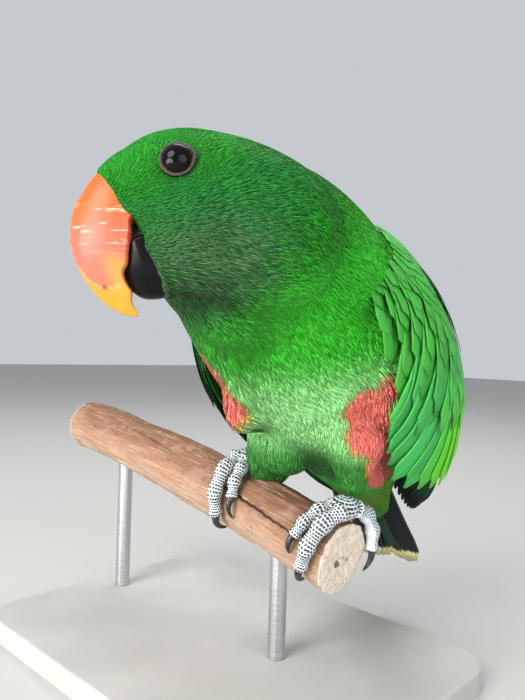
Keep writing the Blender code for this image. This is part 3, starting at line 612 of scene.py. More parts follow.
# Roots spread evenly over the skin, closer where the feathers are smaller
def spreadRoots(spacing, seed):
    rng = np.random.default_rng(seed)
    co, uv = vertexPlaces(skin)[skinTriangles], skinMaps
    cross = np.cross(co[:, 1] - co[:, 0], co[:, 2] - co[:, 0])
    area = np.linalg.norm(cross, axis=1) / 2
    gap = spacing(co.mean(1))
    weight = np.where(gap > 0, area / np.maximum(gap, 1e-6) ** 2, 0)
    total = int(weight.sum() * coatSettings["tries"])
    pick = rng.choice(len(area), total, p=weight / weight.sum())
    a, b = rng.random((2, total))
    flip = a + b > 1
    a[flip], b[flip] = 1 - a[flip], 1 - b[flip]
    points, maps = (first + (second - first) * a[:, None] + (third - first) * b[:, None]
                    for first, second, third in (corners[pick].swapaxes(0, 1) for corners in (co, uv)))
    gap = gap[pick]
    cell = max(gap)
    grid, kept = {}, []
    keys = np.floor(points / cell).astype(int).tolist()
    around = [(dx, dy, dz) for dx in (-1, 0, 1) for dy in (-1, 0, 1) for dz in (-1, 0, 1)]
    for i, (place, (x, y, z), least) in enumerate(zip(points.tolist(), keys, (gap ** 2).tolist())):
        px, py, pz = place
        if any((q[0] - px) ** 2 + (q[1] - py) ** 2 + (q[2] - pz) ** 2 < least
               for dx, dy, dz in around for q in grid.get((x + dx, y + dy, z + dz), ())):
            continue
        grid.setdefault((x, y, z), []).append(place)
        kept.append(i)
    return points[kept], maps[kept]


# The small feathers. Sizes are in metres: how far apart, how long, how wide, how high the tips stand
coatSizes = {
    "face": (0.00034, 0.0030, 0.00042, 0.00028),
    "head": (0.00041, 0.0054, 0.00050, 0.00038),
    "neck": (0.00051, 0.0078, 0.00062, 0.00052),
    "trunk": (0.00060, 0.0092, 0.00080, 0.00066),
    "leg": (0.00054, 0.0074, 0.00064, 0.00070),
    "shoulder": (0.00062, 0.0080, 0.00090, 0.00060),
}
coatStyle = {
    "rows": 3, "columns": 3, "shape": [(0, 0.6), (0.5, 1.0), (1, 0.12)], "rounding": 0.0, "camber": 0.16,
}
coatSettings = {
    "limit": 13500,  # feathers in one piece
    "tries": 2.2,  # roots tried in the room of one
    "vary": 0.16, "rootSink": 0.0003,
    "eyeBare": 0.0063, "tailEnd": -0.072, "underHorn": (27.5, 5, 8),  # where no feather grows
    "swirl": (90, 0.9, 0.13),  # grain, how far it turns the feathers, and how far each strays by itself
    "blotch": (260, 0.86, 0.28),  # grain, least brightness and how much more
    "paleTone": np.array((0.10, 0.20, 0.10)), "paleShare": 0.20, "paleAmount": 0.42,  # strands under the chin
}


def wingPlaceOf(p):  # distance back, angle round the body and side of a point
    body = bodyPlace(p)
    nearest = nearestSample(body)
    x, back, off = trunkSamples[nearest], trunkBack[nearest], body[:, (0, 2)] - trunkLine[nearest]
    rise = off[:, 0] * back[:, 1] - off[:, 1] * back[:, 0]
    row = formAt(x, wingForm)
    angle = np.degrees(np.arctan2(rise / (row[:, 3] + 0.004), np.abs(body[:, 1]) / (row[:, 2] + 0.004)))
    return x, angle, body[:, 1]


def underWing(p):  # where the wing's feathers hide the coat
    x, angle, lateral = wingPlaceOf(p)
    front = 0.052 - 0.00060 * np.clip(15 - angle, 0, 50)
    covered = np.zeros(len(p), bool)
    for side, sign in sideSign.items():
        row = wingRow(x, side)
        inside = (angle > row[:, 1] + 13 - 7 * ease((x - 0.080) / 0.02)) & (angle < row[:, 2] - 7)
        covered |= inside & (x > front) & (x < 0.150) & (lateral * sign > 0.004)
    return covered


def coatSizeAt(p):
    head, body = headPlace(p), bodyPlace(p)
    towards = towardsHead(p)
    fromBill = np.linalg.norm(head - (20, 0, -8), axis=1)
    sizes = {name: np.array(values) for name, values in coatSizes.items()}
    size = sizes["face"] + (sizes["head"] - sizes["face"]) * ease((fromBill - 14) / 26)[:, None]
    size = size + (sizes["neck"] - size) * ease((0.002 - towards) / 0.020)[:, None]
    size = size + (sizes["trunk"] - size) * ease((-0.024 - towards) / 0.026)[:, None]
    size = size + (sizes["leg"] - size) * legness(body, 0.050, 0.014, 0.024, 0.012)[:, None]
    x, angle, _ = wingPlaceOf(p)
    front = ease((x - 0.016) / 0.012) * ease((angle + 4) / 12) * ease((0.046 - x) / 0.01)
    size = size + (sizes["shoulder"] - size) * front[:, None]
    chin = ease((-17 - head[:, 2]) / 12) * ease((head[:, 0] + 14) / 16)
    size = size * (1 + chin[:, None] * np.array((0.15, 0.75, 0.30, 1.4)))
    for centre in eyeCentre.values():
        near = ease((0.013 - np.linalg.norm(p - centre, axis=1)) / 0.005)[:, None]
        size = size + (sizes["face"] * (1, 0.7, 0.8, 0.8) - size) * near
    return size


def spacingAt(p):  # 0 where no feather grows: under the wings, at the eyes, under the bill and at the tail
    head = headPlace(p)
    ahead, top, half = coatSettings["underHorn"]
    bare = underWing(p) | (bodyPlace(p)[:, 0] < coatSettings["tailEnd"])
    bare |= (head[:, 0] > ahead) & (head[:, 2] < top) & (np.abs(head[:, 1]) < half)
    for centre in eyeCentre.values():
        bare |= np.linalg.norm(p - centre, axis=1) < coatSettings["eyeBare"]
    return np.where(bare, 0, coatSizeAt(p)[:, 0])


def coatPiece(name, mask, data, seed):
    rng = np.random.default_rng(seed)
    root, uv, way, size, normal = (d[mask] for d in data)
    count = len(root)
    length = size[:, 1] * rng.uniform(0.85, 1.15, count)
    fine, bend, stray = coatSettings["swirl"]
    swirl = (grain(root * fine, 5) - 0.5) * bend + rng.normal(0, stray, count)
    turned = unit(way + np.cross(normal, way) * swirl[:, None])
    middle, middleNormal = walk(skinTree, root, turned, length * 0.5)
    tip, tipNormal = walk(skinTree, middle, unit(middle - root), length * 0.5)
    high = size[:, 3] * rng.uniform(0.75, 1.25, count)
    ends = (root - normal * coatSettings["rootSink"], middle + middleNormal * (high * 0.75)[:, None],
            tip + tipNormal * high[:, None])
    fine, least, more = coatSettings["blotch"]
    blotch = least + more * grain(root * fine, 6)
    own = rng.uniform(1 - coatSettings["vary"], 1 + coatSettings["vary"], count)
    colour = coatColour(root + (middle - root) * 0.6) * (blotch * own)[:, None]
    place = headPlace(root)
    pale = ease((-14 - place[:, 2]) / 12) * ease((place[:, 0] + 22) / 14)
    pale = pale * (rng.random(count) > 1 - coatSettings["paleShare"]) * coatSettings["paleAmount"]
    colour = colour + (coatSettings["paleTone"] - colour) * pale[:, None]
    obj = featherMesh(name, ends, (normal, tipNormal), size[:, 2] * rng.uniform(0.85, 1.15, count),
                      coatStyle, colour, uv, rng)
    print("stage:", name, count)
    return obj


def buildCoat():
    root, uv = spreadRoots(spacingAt, 11)
    normal = np.array([skinTree.find_nearest(Vector(p))[1] for p in root])
    way = lieOfCoat(root)
    way = unit(way - normal * (way * normal).sum(1, keepdims=True))
    data = (root, uv, way, coatSizeAt(root), normal)
    towards, body, lateral = towardsHead(root), bodyPlace(root), headPlace(root)[:, 1]
    head = towards > -0.004
    neck = ~head & (towards > -0.036)
    leg = ~head & ~neck & (body[:, 2] < 0.050) & (body[:, 0] > -0.030)
    trunk = ~head & ~neck & ~leg
    height = aboveMiddle(body)
    groups = {
        "head_coat_left": head & (lateral > 0), "head_coat_right": head & (lateral <= 0), "neck_coat": neck,
        "breast_coat": trunk & (height < 0), "back_coat": trunk & (height >= 0), "leg_coat": leg,
    }
    pieces = []
    for name, mask in groups.items():
        members = np.nonzero(mask)[0]
        parts = -(-len(members) // coatSettings["limit"])
        for part in np.array_split(members[np.argsort(root[members, 2])], parts):
            pieces.append(coatPiece(name + "_%d" % (len(pieces) + 1), part, data, 20 + len(pieces)))
    return pieces


skinTriangles, skinMaps = trianglesOf(skin)
skinTree = BVHTree.FromPolygons(vertexPlaces(skin).tolist(), skinTriangles.tolist())
coat = buildCoat()
setAttribute(skin, "coat", np.concatenate([coatColour(vertexPlaces(skin)) * 0.5,
                                           np.ones((len(skin.data.vertices), 1))], 1), "FLOAT_COLOR")


# The wings: rows of coverts from the shoulder back, then the flight feathers. The wing droops a little,
# so the lower a feather's tip is, the more the feather hangs
wingStyles = {
    "covert": {
        "rows": 7, "columns": 7, "shape": [(0, 0.5), (0.3, 0.95), (0.75, 1.0), (0.9, 0.90), (1, 0.62)],
        "rounding": 0.30, "camber": 0.05, "rib": 0.00003, "thick": 0.00014, "fray": 0.010, "lean": 0.022},
    "flight": {
        "rows": 14, "columns": 9, "shape": [(0, 0.5), (0.2, 0.9), (0.78, 1.0), (0.92, 0.82), (1, 0.44)],
        "rounding": 0.12, "camber": 0.05, "rib": 0.00008, "thick": 0.00020, "fray": 0.006, "lean": 0.030},
}
covertRows = [  # distance back of the tips, length, width, how high the tips stand
    (0.044, 0.012, 0.0074, 0.0002), (0.049, 0.014, 0.0078, 0.0002), (0.055, 0.015, 0.0082, 0.0002),
    (0.061, 0.016, 0.0088, 0.0003), (0.068, 0.019, 0.0094, 0.0003), (0.076, 0.021, 0.0100, 0.0003),
    (0.085, 0.023, 0.0108, 0.0004), (0.095, 0.026, 0.0118, 0.0004), (0.107, 0.031, 0.0130, 0.0004),
    (0.120, 0.036, 0.0142, 0.0005), (0.134, 0.040, 0.0150, 0.0005),
]
flightTips = np.array([
    (0.097, -48.5), (0.108, -51), (0.119, -52.5), (0.130, -53), (0.138, -47), (0.143, -38), (0.147, -28),
    (0.150, -17), (0.152, -5), (0.153, 8), (0.154, 21), (0.153, 34), (0.151, 46), (0.147, 58)])
flightSettings = {
    "length": 0.064, "width": 0.0135, "high": 0.0002, "sink": -0.0014,
    "lowest": {"left": -54.0, "right": -30.0},
    "primaries": 9, "primary": (0.0098, -0.0030, -0.0040),  # number, then width, height of tip and root
    # Dark feathers that hang below the right wing or show past the left one: root and tip of each
    "dark": {"right": (((0.044, 13), (0.094, -30)), ((0.049, 8), (0.100, -38)), ((0.054, 3), (0.105, -45))),
             "left": (((0.040, 34), (0.068, 17)), ((0.048, 33), (0.079, 16)), ((0.056, 31), (0.089, 14)))},
    "darkSize": {"right": (0.0090, 0.0052, -0.0010), "left": (0.0066, 0.0012, -0.0010)},
}
wingSettings = {
    "degree": 0.00095,  # metres round the body for one degree
    "covertSink": -0.0008,
    "sweep": 0.00072,  # how much further forward the rows lie, for each degree below 15
    "sag": {"left": 1.0, "right": 0.5}, "flightSag": {"left": 1.0, "right": 0.6},
    "colour": np.array((0.052, 0.380, 0.044)), "late": np.array((0.062, 0.240, -0.038)),
    "middle": np.array((-0.012, 0.0, 0.034)), "black": np.array((0.004, 0.006, 0.012)),
}


def hung(tip, length, sag):  # the root of a feather with this tip
    sag = math.radians(sag)
    return tip[0] - length * math.cos(sag), tip[1] + length * math.sin(sag) / wingSettings["degree"]


def covertList(side, rng):  # root, tip, width, height of tip and root, and whether it is black
    rows, sweep = [], wingSettings["sweep"]
    for k, (back, length, width, high) in enumerate(covertRows):
        low = -50.0
        for _ in range(6):  # settles on where the slanted row meets the wing's lower edge
            x = back - sweep * max(15 - low, 0)
            low = 0.5 * low + 0.5 * (wingRow(x, side)[1] + 7 - 5.5 * ease((x - 0.075) / 0.02))
        top = wingRow(back, side)[2] - 3
        number = max(int(round((top - low) * wingSettings["degree"] / (width * 0.68))), 3)
        for i in range(number + 1):
            angle = low + (top - low) * min(max((i + (0.5 if k % 2 else 0.0)) / number, 0), 1)
            x = back - sweep * max(15 - angle, 0) + rng.uniform(-0.0012, 0.0012)
            tip = (x, angle + rng.uniform(-1.2, 1.2))
            sag = (14 + 28 * ease((35 - angle) / 45)) * wingSettings["sag"][side] + rng.uniform(-4, 4)
            root = hung(tip, length * rng.uniform(0.92, 1.06), sag)
            if root[0] > 0.018 and root[1] < wingRow(root[0], side)[2] + 2:
                size = (width * rng.uniform(0.92, 1.08), high * rng.uniform(0.8, 1.2))
                rows.append((root, tip, *size, wingSettings["covertSink"], 0))
    return rows


def flightList(side, rng):
    rows, own, top = [], flightSettings, flightTips[-1, 1]
    for back, angle in flightTips:  # which are the left wing's, and lie closer on the right
        turned = top - (top - angle) * (top - own["lowest"][side]) / (top - own["lowest"]["left"])
        tip = (back + rng.uniform(-0.001, 0.001), turned)
        sag = (6 + 36 * np.clip((-angle + 5) / 52, 0, 1)) * wingSettings["flightSag"][side]
        rows.append((hung(tip, own["length"], sag), tip, own["width"], own["high"], own["sink"], 0))
    for share in np.arange(own["primaries"]) / (own["primaries"] - 1):
        tip = (0.178 + 0.018 * math.sin(math.pi * (0.25 + 0.6 * share)), 36 + 34 * share)
        rows.append(((0.108, -4 + 58 * share), tip, *own["primary"], 1))
    return rows + [(root, tip, *own["darkSize"][side], 1) for root, tip in own["dark"][side]]


def wingColour(tips, black, rng):
    late = (ease((tips[:, 0] - 0.085) / 0.06) * ease((tips[:, 1] + 50) / 30))[:, None]
    colour = wingSettings["colour"] + late * wingSettings["late"]
    colour = colour + ease((tips[:, :1] - 0.07) / 0.03) * (1 - late) * wingSettings["middle"]
    colour = colour * rng.uniform(0.88, 1.12, (len(tips), 1))
    return np.where(black[:, None] > 0, wingSettings["black"], colour)


def nearestMap(p):  # the unwrap's place of the skin nearest to a point
    return skinMaps[skinTree.find_nearest(Vector(p))[2]].mean(0)


def wingFeathers(side, seed):
    rng = np.random.default_rng(seed)
    made = []
    for kind, build in (("covert", covertList), ("flight", flightList)):
        rows = build(side, rng)
        roots, tips = np.array([row[0] for row in rows]), np.array([row[1] for row in rows])
        widths, highs, sinks, black = np.array([row[2:] for row in rows]).T
        middles = roots * 0.5 + tips * 0.5
        ends = [onWing(*place.T, lift, side) for place, lift in (
            (roots, sinks), (middles, sinks * 0.30 + highs * 0.70), (tips, highs))]
        normals = [unit(onWing(*place.T, 0.004, side) - onWing(*place.T, 0.0, side)) for place in (roots, tips)]
        colour = wingColour(tips, black, rng)
        uv = np.array([nearestMap(p) for p in ends[0]])
        style = dict(wingStyles[kind], lean=wingStyles[kind]["lean"] * sideSign[side])
        made.append(featherMesh("wing_%s_%ss" % (side, kind), ends, normals, widths, style, colour, uv, rng))
    print("stage: wing", side)
    return made


# The tail: twelve feathers, each a little under the one inside it
tailSettings = {
    "pairs": 6, "width": 0.0135, "layer": 0.0008, "start": formLength[5] - 0.008,
    "colour": (0.010, 0.060, 0.030),
    "lift": 0.0028, "droop": 0.0022, "facing": (0.72, -0.69),  # up and ahead
    # How far the innermost feather lies from the middle at root and tip, and what each further one adds
    "spread": ((0.0030, 0.0010), (0.0030, 0.0026)), "shorter": 0.0009, "uneven": 0.0008,
    "style": {"rows": 14, "columns": 9, "shape": [(0, 0.5), (0.3, 0.9), (0.8, 1.0), (0.94, 0.84), (1, 0.5)],
              "rounding": 0.07, "camber": 0.07, "rib": 0.0002, "thick": 0.0003, "fray": 0.012},
}


def tailPoint(x, across, layer):
    form, step = formAt(x), formAt(x + 0.002) - formAt(x - 0.002)
    back = step[:2] / np.hypot(*step[:2])
    rise = tailSettings["lift"] - tailSettings["layer"] * layer - tailSettings["droop"] * (across / 0.02) ** 2
    return inBody(form[0] + back[1] * rise, across, form[1] - back[0] * rise)


def tailFeathers():
    rng = np.random.default_rng(61)
    start, uneven, curves = tailSettings["start"], tailSettings["uneven"], []
    for k in range(tailSettings["pairs"]):
        atRoot, atTip = (first + more * k for first, more in tailSettings["spread"])
        for side in (1, -1):
            last = formLength[-1] - tailSettings["shorter"] * k ** 1.5 + rng.uniform(-uneven, uneven)
            curves.append([tailPoint(start + (last - start) * t, side * (atRoot * (1 - t) + atTip * t),
                                     k + (0 if side > 0 else 0.5)) for t in (0, 0.5, 1)])
    ends = np.array(curves).transpose(1, 0, 2)
    count = len(curves)
    up, ahead = tailSettings["facing"]
    normals = [np.tile(unit(bodyUp * up + bodyAhead * ahead), (count, 1))] * 2
    uv = np.array([nearestMap(p) for p in ends[0]])
    widths, colour = np.full(count, tailSettings["width"]), np.tile(tailSettings["colour"], (count, 1))
    return featherMesh("tail_feathers", ends, normals, widths, tailSettings["style"], colour, uv, rng)


wings = {side: wingFeathers(side, 40 + i) for i, side in enumerate(sideSign)}
tail = tailFeathers()

# The eyes and their lids
eyeSettings = {
    "radius": 0.0051, "lidMajor": 0.00452, "lidMinor": 0.00036, "lidOut": 0.0026,
    "corner": 0.0004, "folds": ((23, 0.16), (41, 0.10)),  # how many small folds, and how deep
    "gazeUp": 0.16, "gazeAhead": 0.12,
}


def eyeFrame(side):
    out = unit(headAxes[1] * sideSign[side] + headAxes[2] * eyeSettings["gazeUp"]
               + headAxes[0] * eyeSettings["gazeAhead"])
    over = unit(headAxes[0] - out * (headAxes[0] @ out))
    return out, over, np.cross(out, over)


def makeEye(side):
    axes = eyeFrame(side)

    def place(u, v):
        over, up, out = onBall(u, v)
        direction = column(out) * axes[0] + column(over) * axes[1] + column(up) * axes[2]
        return eyeCentre[side] + eyeSettings["radius"] * direction
    eye = shapedSheet("eye_ball_" + side, 48, 40, place)
    gaze = unit(vertexPlaces(eye) - eyeCentre[side]) @ axes[0]
    setAttribute(eye, "fromGaze", np.degrees(np.arccos(np.clip(gaze, -1, 1))), "FLOAT")
    return eye


def makeLid(side):
    out, over, up = eyeFrame(side)
    (many, deep), (more, shallow) = eyeSettings["folds"]

    def place(u, v):
        turn, curl = 2 * math.pi * u, 2 * math.pi * v
        minor = eyeSettings["lidMinor"] * (1 + deep * np.sin(many * turn) * np.sin(3 * curl + turn)
                                          + shallow * np.sin(more * turn + 2))
        spoke = column(np.cos(turn)) * over + column(np.sin(turn) * 0.96) * up
        corner = eyeSettings["corner"] * np.exp(-((turn - math.pi) / 0.35) ** 2)
        return (eyeCentre[side] + spoke * column(eyeSettings["lidMajor"] + corner + minor * np.cos(curl))
                + out * column(eyeSettings["lidOut"] + minor * 1.15 * np.sin(curl)))
    return shapedSheet("eye_lids_" + side, 120, 14, place)


eyes = {side: makeEye(side) for side in sideSign}
lids = {side: makeLid(side) for side in sideSign}


# The bill, and a dark form that fills the mouth between its halves
mouthForm = {"ahead": 14.5, "up": -15.2, "radii": (8.0, 6.6, 5.2), "slant": 2.2}  # millimetres


def makeBill(name, rows, along):
    def place(u, v):
        t = v * (len(rows) - 1)
        row = between(rows, t)
        middle = row[:, 2:4] + (row[:, :2] - row[:, 2:4]) * 0.4
        share = np.minimum(np.minimum(v, 1 - v) * 60, 1)
        return towardsMiddle(*onBill(rows, t, 2 * math.pi * u), middle, share)
    bill = shapedSheet(name, 72, along, place)
    setAttribute(bill, "billPlace", headPlace(vertexPlaces(bill)))
    return bill


def mouthPlace(u, v):
    left, up, ahead = onBall(u, v)
    radii = mouthForm["radii"]
    return inHead(mouthForm["ahead"] + radii[0] * ahead, radii[1] * left,
                  mouthForm["up"] + radii[2] * up - mouthForm["slant"] * ahead)


bills = {"upper": makeBill("bill_upper_horn", upperBill, 120),
         "lower": makeBill("bill_lower_horn", lowerBill, 70)}
mouth = shapedSheet("mouth_inside", 32, 24, mouthPlace)
print("stage: eyes and bill")

# The branch, with s along it from the middle of the feet and turn from its top towards the front
perch = {
    "slope": math.radians(11.0), "from": -0.166, "to": 0.0355, "radius": 0.0146, "arch": 0.0045,
    "cap": 0.045, "rim": 0.80,  # the share of the sheet for each cut end, and where its rounded rim begins
    "coarse": (55, 5.5, 0.0013), "fine": (160, 19, 0.0007),  # bark relief: grain along and around, height
    "pith": (0.10, 0.28, 0.0010), "bevel": 0.0007,
}
perchAlong = np.array((math.cos(perch["slope"]), 0, -math.sin(perch["slope"])))
perchUp = np.array((math.sin(perch["slope"]), 0, math.cos(perch["slope"])))
perchBack = np.array((0.0, 1.0, 0.0))


def perchMiddle(s):
    bow = 1 - ((s + 0.05) / 0.12) ** 2
    return pose["perchPoint"] + column(s) * perchAlong + column(perch["arch"] * bow) * perchUp


def perchRadius(s, turn):  # a slow taper, waves along it, and a bump near the feet
    bump = np.exp(-((s + 0.012) / 0.012) ** 2) * np.maximum(np.cos(turn - 0.2), 0) ** 2
    wave = np.sin(s * 61 + 2 * turn) + 0.7 * np.sin(s * 97 - 3 * turn + 1)
    return perch["radius"] + 0.0012 * ease(s / 0.2 + 0.9) - 0.0008 + 0.00025 * wave + 0.0010 * bump


def perchOut(turn):
    return column(np.cos(turn)) * perchUp - column(np.sin(turn)) * perchBack


def onPerch(s, turn, lift):
    return perchMiddle(s) + perchOut(turn) * column(perchRadius(s, turn) + lift)


woodCracks = [  # start and end along the branch, turn at each, width, depth
    (-0.036, 0.022, 0.98, 1.24, 0.00055, 0.0016),
    (-0.120, -0.060, 0.62, 0.80, 0.0005, 0.0008),
    (-0.158, -0.118, 1.30, 1.02, 0.0005, 0.0008),
    (-0.070, -0.020, 0.25, 0.36, 0.0004, 0.0007),
    (-0.150, -0.050, 2.9, 3.2, 0.0007, 0.0012),
    (-0.060, 0.030, -1.2, -0.9, 0.0006, 0.0010),
    (-0.155, -0.080, -2.0, -1.8, 0.0005, 0.0009),
]


def crackDepth(s, turn):
    deep = np.zeros(np.broadcast(s, turn).shape)
    for first, last, turnA, turnB, width, depth in woodCracks:
        t = np.clip((s - first) / (last - first), 0, 1)
        inside = np.sqrt(np.clip(4 * t * (1 - t), 0, 1))
        line = turnA + (turnB - turnA) * t + 0.008 * np.sin(s * 400) + 0.012 * np.sin(s * 1300)
        off = (turn - line + math.pi) % (2 * math.pi) - math.pi
        deep = deep + depth * inside * np.exp(-(off * perch["radius"] / width) ** 2)
    return deep


def endRelief(rim, turn, edge):  # saw marks, rings, the pith and the bevel of a cut end
    x, y = np.cos(turn), np.sin(turn)
    rough = (grain(np.stack([x * rim * 9, y * rim * 9, rim * 0 + 3], -1), 8) - 0.5) * 0.0009
    rings = 0.00012 * np.sin(rim * 46 + 2 * grain(np.stack([x, y, rim * 2], -1), 9) * 3)
    across, down, depth = perch["pith"]
    pith = depth * np.exp(-((rim * x + across) ** 2 + (rim * y + down) ** 2) / 0.006)
    return (rough + rings) * (1 - edge) - pith - perch["bevel"] * edge ** 3


def branchPlace(u, v):
    turn, cap = 2 * math.pi * u, perch["cap"]
    s = perch["from"] + (perch["to"] - perch["from"]) * np.clip((v - cap) / (1 - 2 * cap), 0, 1)
    rim = np.minimum(np.minimum(v, 1 - v) / cap, 1)
    edge = np.clip((rim - perch["rim"]) / (1 - perch["rim"]), 0, 1)
    relief = -crackDepth(s, turn)
    for seed, layer in ((3, "coarse"), (4, "fine")):
        along, around, height = perch[layer]
        place = np.stack([s * along, np.cos(turn) * around, np.sin(turn) * around], -1)
        relief = relief + (grain(place, seed) - 0.5) * height
    onEnd = rim < 1
    radius = (perchRadius(s, turn) + relief * np.where(onEnd, edge, 1)) * rim
    push = np.where(onEnd, endRelief(rim, turn, edge), 0) * np.where(v > 0.5, 1, -1)
    return perchMiddle(s) + perchOut(turn) * column(radius) + column(push) * perchAlong


def makePerch():
    obj = shapedSheet("branch", 150, 300, branchPlace)
    p = vertexPlaces(obj) - pose["perchPoint"]
    s = p @ perchAlong
    off = p - (perchMiddle(s) - pose["perchPoint"])
    turn = np.arctan2(-(off @ perchBack), off @ perchUp)
    far = np.linalg.norm(off, axis=1)
    setAttribute(obj, "grainPlace", np.stack([s, np.cos(turn) * far, np.sin(turn) * far], -1))
    flat = np.maximum(ease((s - perch["to"] + 0.0012) / 0.0008), ease((perch["from"] + 0.0012 - s) / 0.0008))
    setAttribute(obj, "cutFace", flat, "FLOAT")
    # how deep the cracks are, for the painted shade that darkens them
    setAttribute(obj, "crackShade", crackDepth(s, turn) * 1000 * (1 - flat), "FLOAT")
    return obj


branch = makePerch()

# The feet: for each toe its sideways start, end along the branch, turn at the end and radii
toes = {
    "inner_front": (-0.003, -0.010, 68, 0.0030, 0.0024),
    "outer_front": (0.003, -0.003, 102, 0.0038, 0.0027),
    "outer_rear": (0.003, 0.006, -88, 0.0035, 0.0026),
    "inner_rear": (-0.003, -0.006, -54, 0.0030, 0.0024),
}
footSettings = {
    "gap": 0.0006, "scaleLong": 0.00145, "scaleWide": 0.00135, "scaleHigh": 0.00024,
    "palm": (0.0074, 0.0060, 0.0050), "palmLift": 0.0056, "palmScales": (11, 22),
}


def toeLine(side, toe, t):
    start, end, turn, thick, thin = toes[toe]
    radius = thick + (thin - thick) * t + 0.0003 * np.cos(t * 6 * math.pi)
    s = pose["footPlaces"][side] + sideSign[side] * (start + (end - start) * t)
    lift = radius + footSettings["gap"] + 0.0012 * np.sin(math.pi * t) + 0.002 * (1 - t) ** 2
    return onPerch(s, np.radians(turn) * (0.1 + 0.9 * t), lift), radius


def alongLine(line, t):  # points, radii, outward and sideways directions at each t
    points, radii = line(t)
    ahead = unit(line(np.minimum(t + 0.01, 1))[0] - line(np.maximum(t - 0.01, 0))[0])
    out = points - pose["perchPoint"]
    out = out - perchAlong * column(out @ perchAlong)
    out = unit(out - ahead * column((out * ahead).sum(-1)))
    return points, radii, out, np.cross(ahead, out)


def tubePlace(line, turn, radius, narrow=1.0):  # the skin of a round form along a line
    points, _, out, across = line
    return points + across * column(np.cos(turn) * radius * narrow) + out * column(np.sin(turn) * radius)


def scaleCells(along, around, rows):  # how high each scale stands, in a brick-like pattern
    i = np.floor(along)
    shifted = around + 0.5 * (i % 2)
    j = np.floor(shifted)
    du, dv = (along - i - 0.5) * 2, (shifted - j - 0.5) * 2
    wobble = np.sin(i * 12.9898 + (j % rows) * 78.233) * 43758.5453
    size = 0.90 + 0.14 * (wobble - np.floor(wobble))
    far = (np.abs(du) ** 2.6 + np.abs(dv) ** 2.6) ** (1 / 2.6) / size
    return np.clip(1 - far ** 4, 0, 1) ** 0.5


def cellsOf(toe, u, v):  # how high and how dark the scales of a toe are
    _, _, turn, thick, thin = toes[toe]
    length = abs(math.radians(turn)) * 0.019 + 0.006
    rows = max(int(round(length / footSettings["scaleLong"])), 6)
    columns = max(int(round(2 * math.pi * (thick + thin) / 2 / footSettings["scaleWide"])), 8)
    height = scaleCells(v * rows, u * columns, columns)
    below = ease((-np.sin(2 * math.pi * u) - 0.35) / 0.25)
    return height * (1 - 0.5 * below), height * (1 - 0.85 * below)


def makeToe(side, toe):
    def place(u, v):
        line = alongLine(lambda t: toeLine(side, toe, t), np.clip(v * 1.02, 0, 1))
        closing = np.sqrt(np.clip(1 - np.clip((v - 0.93) / 0.07, 0, 1) ** 2, 0, 1))
        closing = closing * np.sqrt(np.clip(v / 0.04, 0, 1))
        pad = 1 + 0.10 * np.maximum(-np.sin(2 * math.pi * u), 0) * np.cos(v * 6 * math.pi)
        high = footSettings["scaleHigh"] * cellsOf(toe, u, v)[0]
        return tubePlace(line, 2 * math.pi * u, (line[1] * pad + high) * closing)
    obj = shapedSheet("toe", 56, 130, place)
    uv, index = np.empty(len(obj.data.loops) * 2), np.empty(len(obj.data.loops), np.int32)
    obj.data.uv_layers[0].data.foreach_get("uv", uv)
    obj.data.loops.foreach_get("vertex_index", index)
    flat = np.zeros((len(obj.data.vertices), 2))
    flat[index] = uv.reshape(-1, 2)
    setAttribute(obj, "scale", cellsOf(toe, flat[:, 0], flat[:, 1])[1], "FLOAT")
    return obj


def makePalm(side):
    centre = onPerch(pose["footPlaces"][side], 0.0, footSettings["palmLift"])
    axes, radii = (perchBack, perchAlong, perchUp), footSettings["palm"]
    rows, columns = footSettings["palmScales"]

    def place(u, v):
        out = sum(column(part) * axis * radius for part, axis, radius in zip(onBall(u, v), axes, radii))
        return centre + out * column(1 + 0.035 * scaleCells(v * rows, u * columns, columns))
    obj = shapedSheet("palm", 80, 50, place)
    p = vertexPlaces(obj) - centre
    far = np.arccos(np.clip(p @ axes[2] / np.linalg.norm(p, axis=1), -1, 1)) / math.pi
    turn = (np.arctan2(p @ axes[1] / radii[1], p @ axes[0] / radii[0]) / (2 * math.pi)) % 1
    setAttribute(obj, "scale", scaleCells(far * rows, turn * columns, columns), "FLOAT")
    return obj


def makeFoot(side):
    return joinAs("scaly_foot_" + side, [makePalm(side)] + [makeToe(side, toe) for toe in toes])


def makeClaw(side, toe):
    start, end, turn, _, thin = toes[toe]
    way = math.copysign(1, turn)

    def line(t):
        radius = thin * 0.80 * (1 - t) ** 0.75 + 0.00018
        bend = math.radians(turn) + way * np.radians(36 * t - 5)
        rise = 0.0018 * np.sin(math.pi * np.minimum(t * 1.1, 1)) + (thin - radius) * 0.5 * (1 - t)
        s = pose["footPlaces"][side] + sideSign[side] * (end + (end - start) * 0.25 * t)
        return onPerch(s, bend, radius + footSettings["gap"] + rise), radius

    def place(u, v):
        made = alongLine(line, v)
        closing = np.sqrt(np.clip(v / 0.06, 0, 1)) * np.sqrt(np.clip((1 - v) / 0.03, 0, 1))
        groove = 1 - 0.10 * np.exp(-((np.sin(2 * math.pi * u) + 0.8) / 0.25) ** 2)
        return tubePlace(made, 2 * math.pi * u, made[1] * closing * groove, 0.86)
    return shapedSheet("claw_" + side + "_" + toe + "_horn", 28, 40, place)


feet = {side: makeFoot(side) for side in sideSign}
claws = {(side, toe): makeClaw(side, toe) for side in sideSign for toe in toes}
print("stage: branch and feet")


# Materials. Shared effects are node groups, and each material puts its own values into them.
# The helpers add one node each to a tree, and give its output
def newGroup(name, inputs, outputs):
    group = bpy.data.node_groups.new(name, "ShaderNodeTree")
    for label, value in inputs.items():
        socket = group.interface.new_socket(label, in_out="INPUT", socket_type="NodeSocketFloat")
        socket.default_value = value
    for label in outputs:
        group.interface.new_socket(label, in_out="OUTPUT", socket_type="NodeSocketFloat")
    return group, group.nodes.new("NodeGroupInput").outputs, group.nodes.new("NodeGroupOutput")


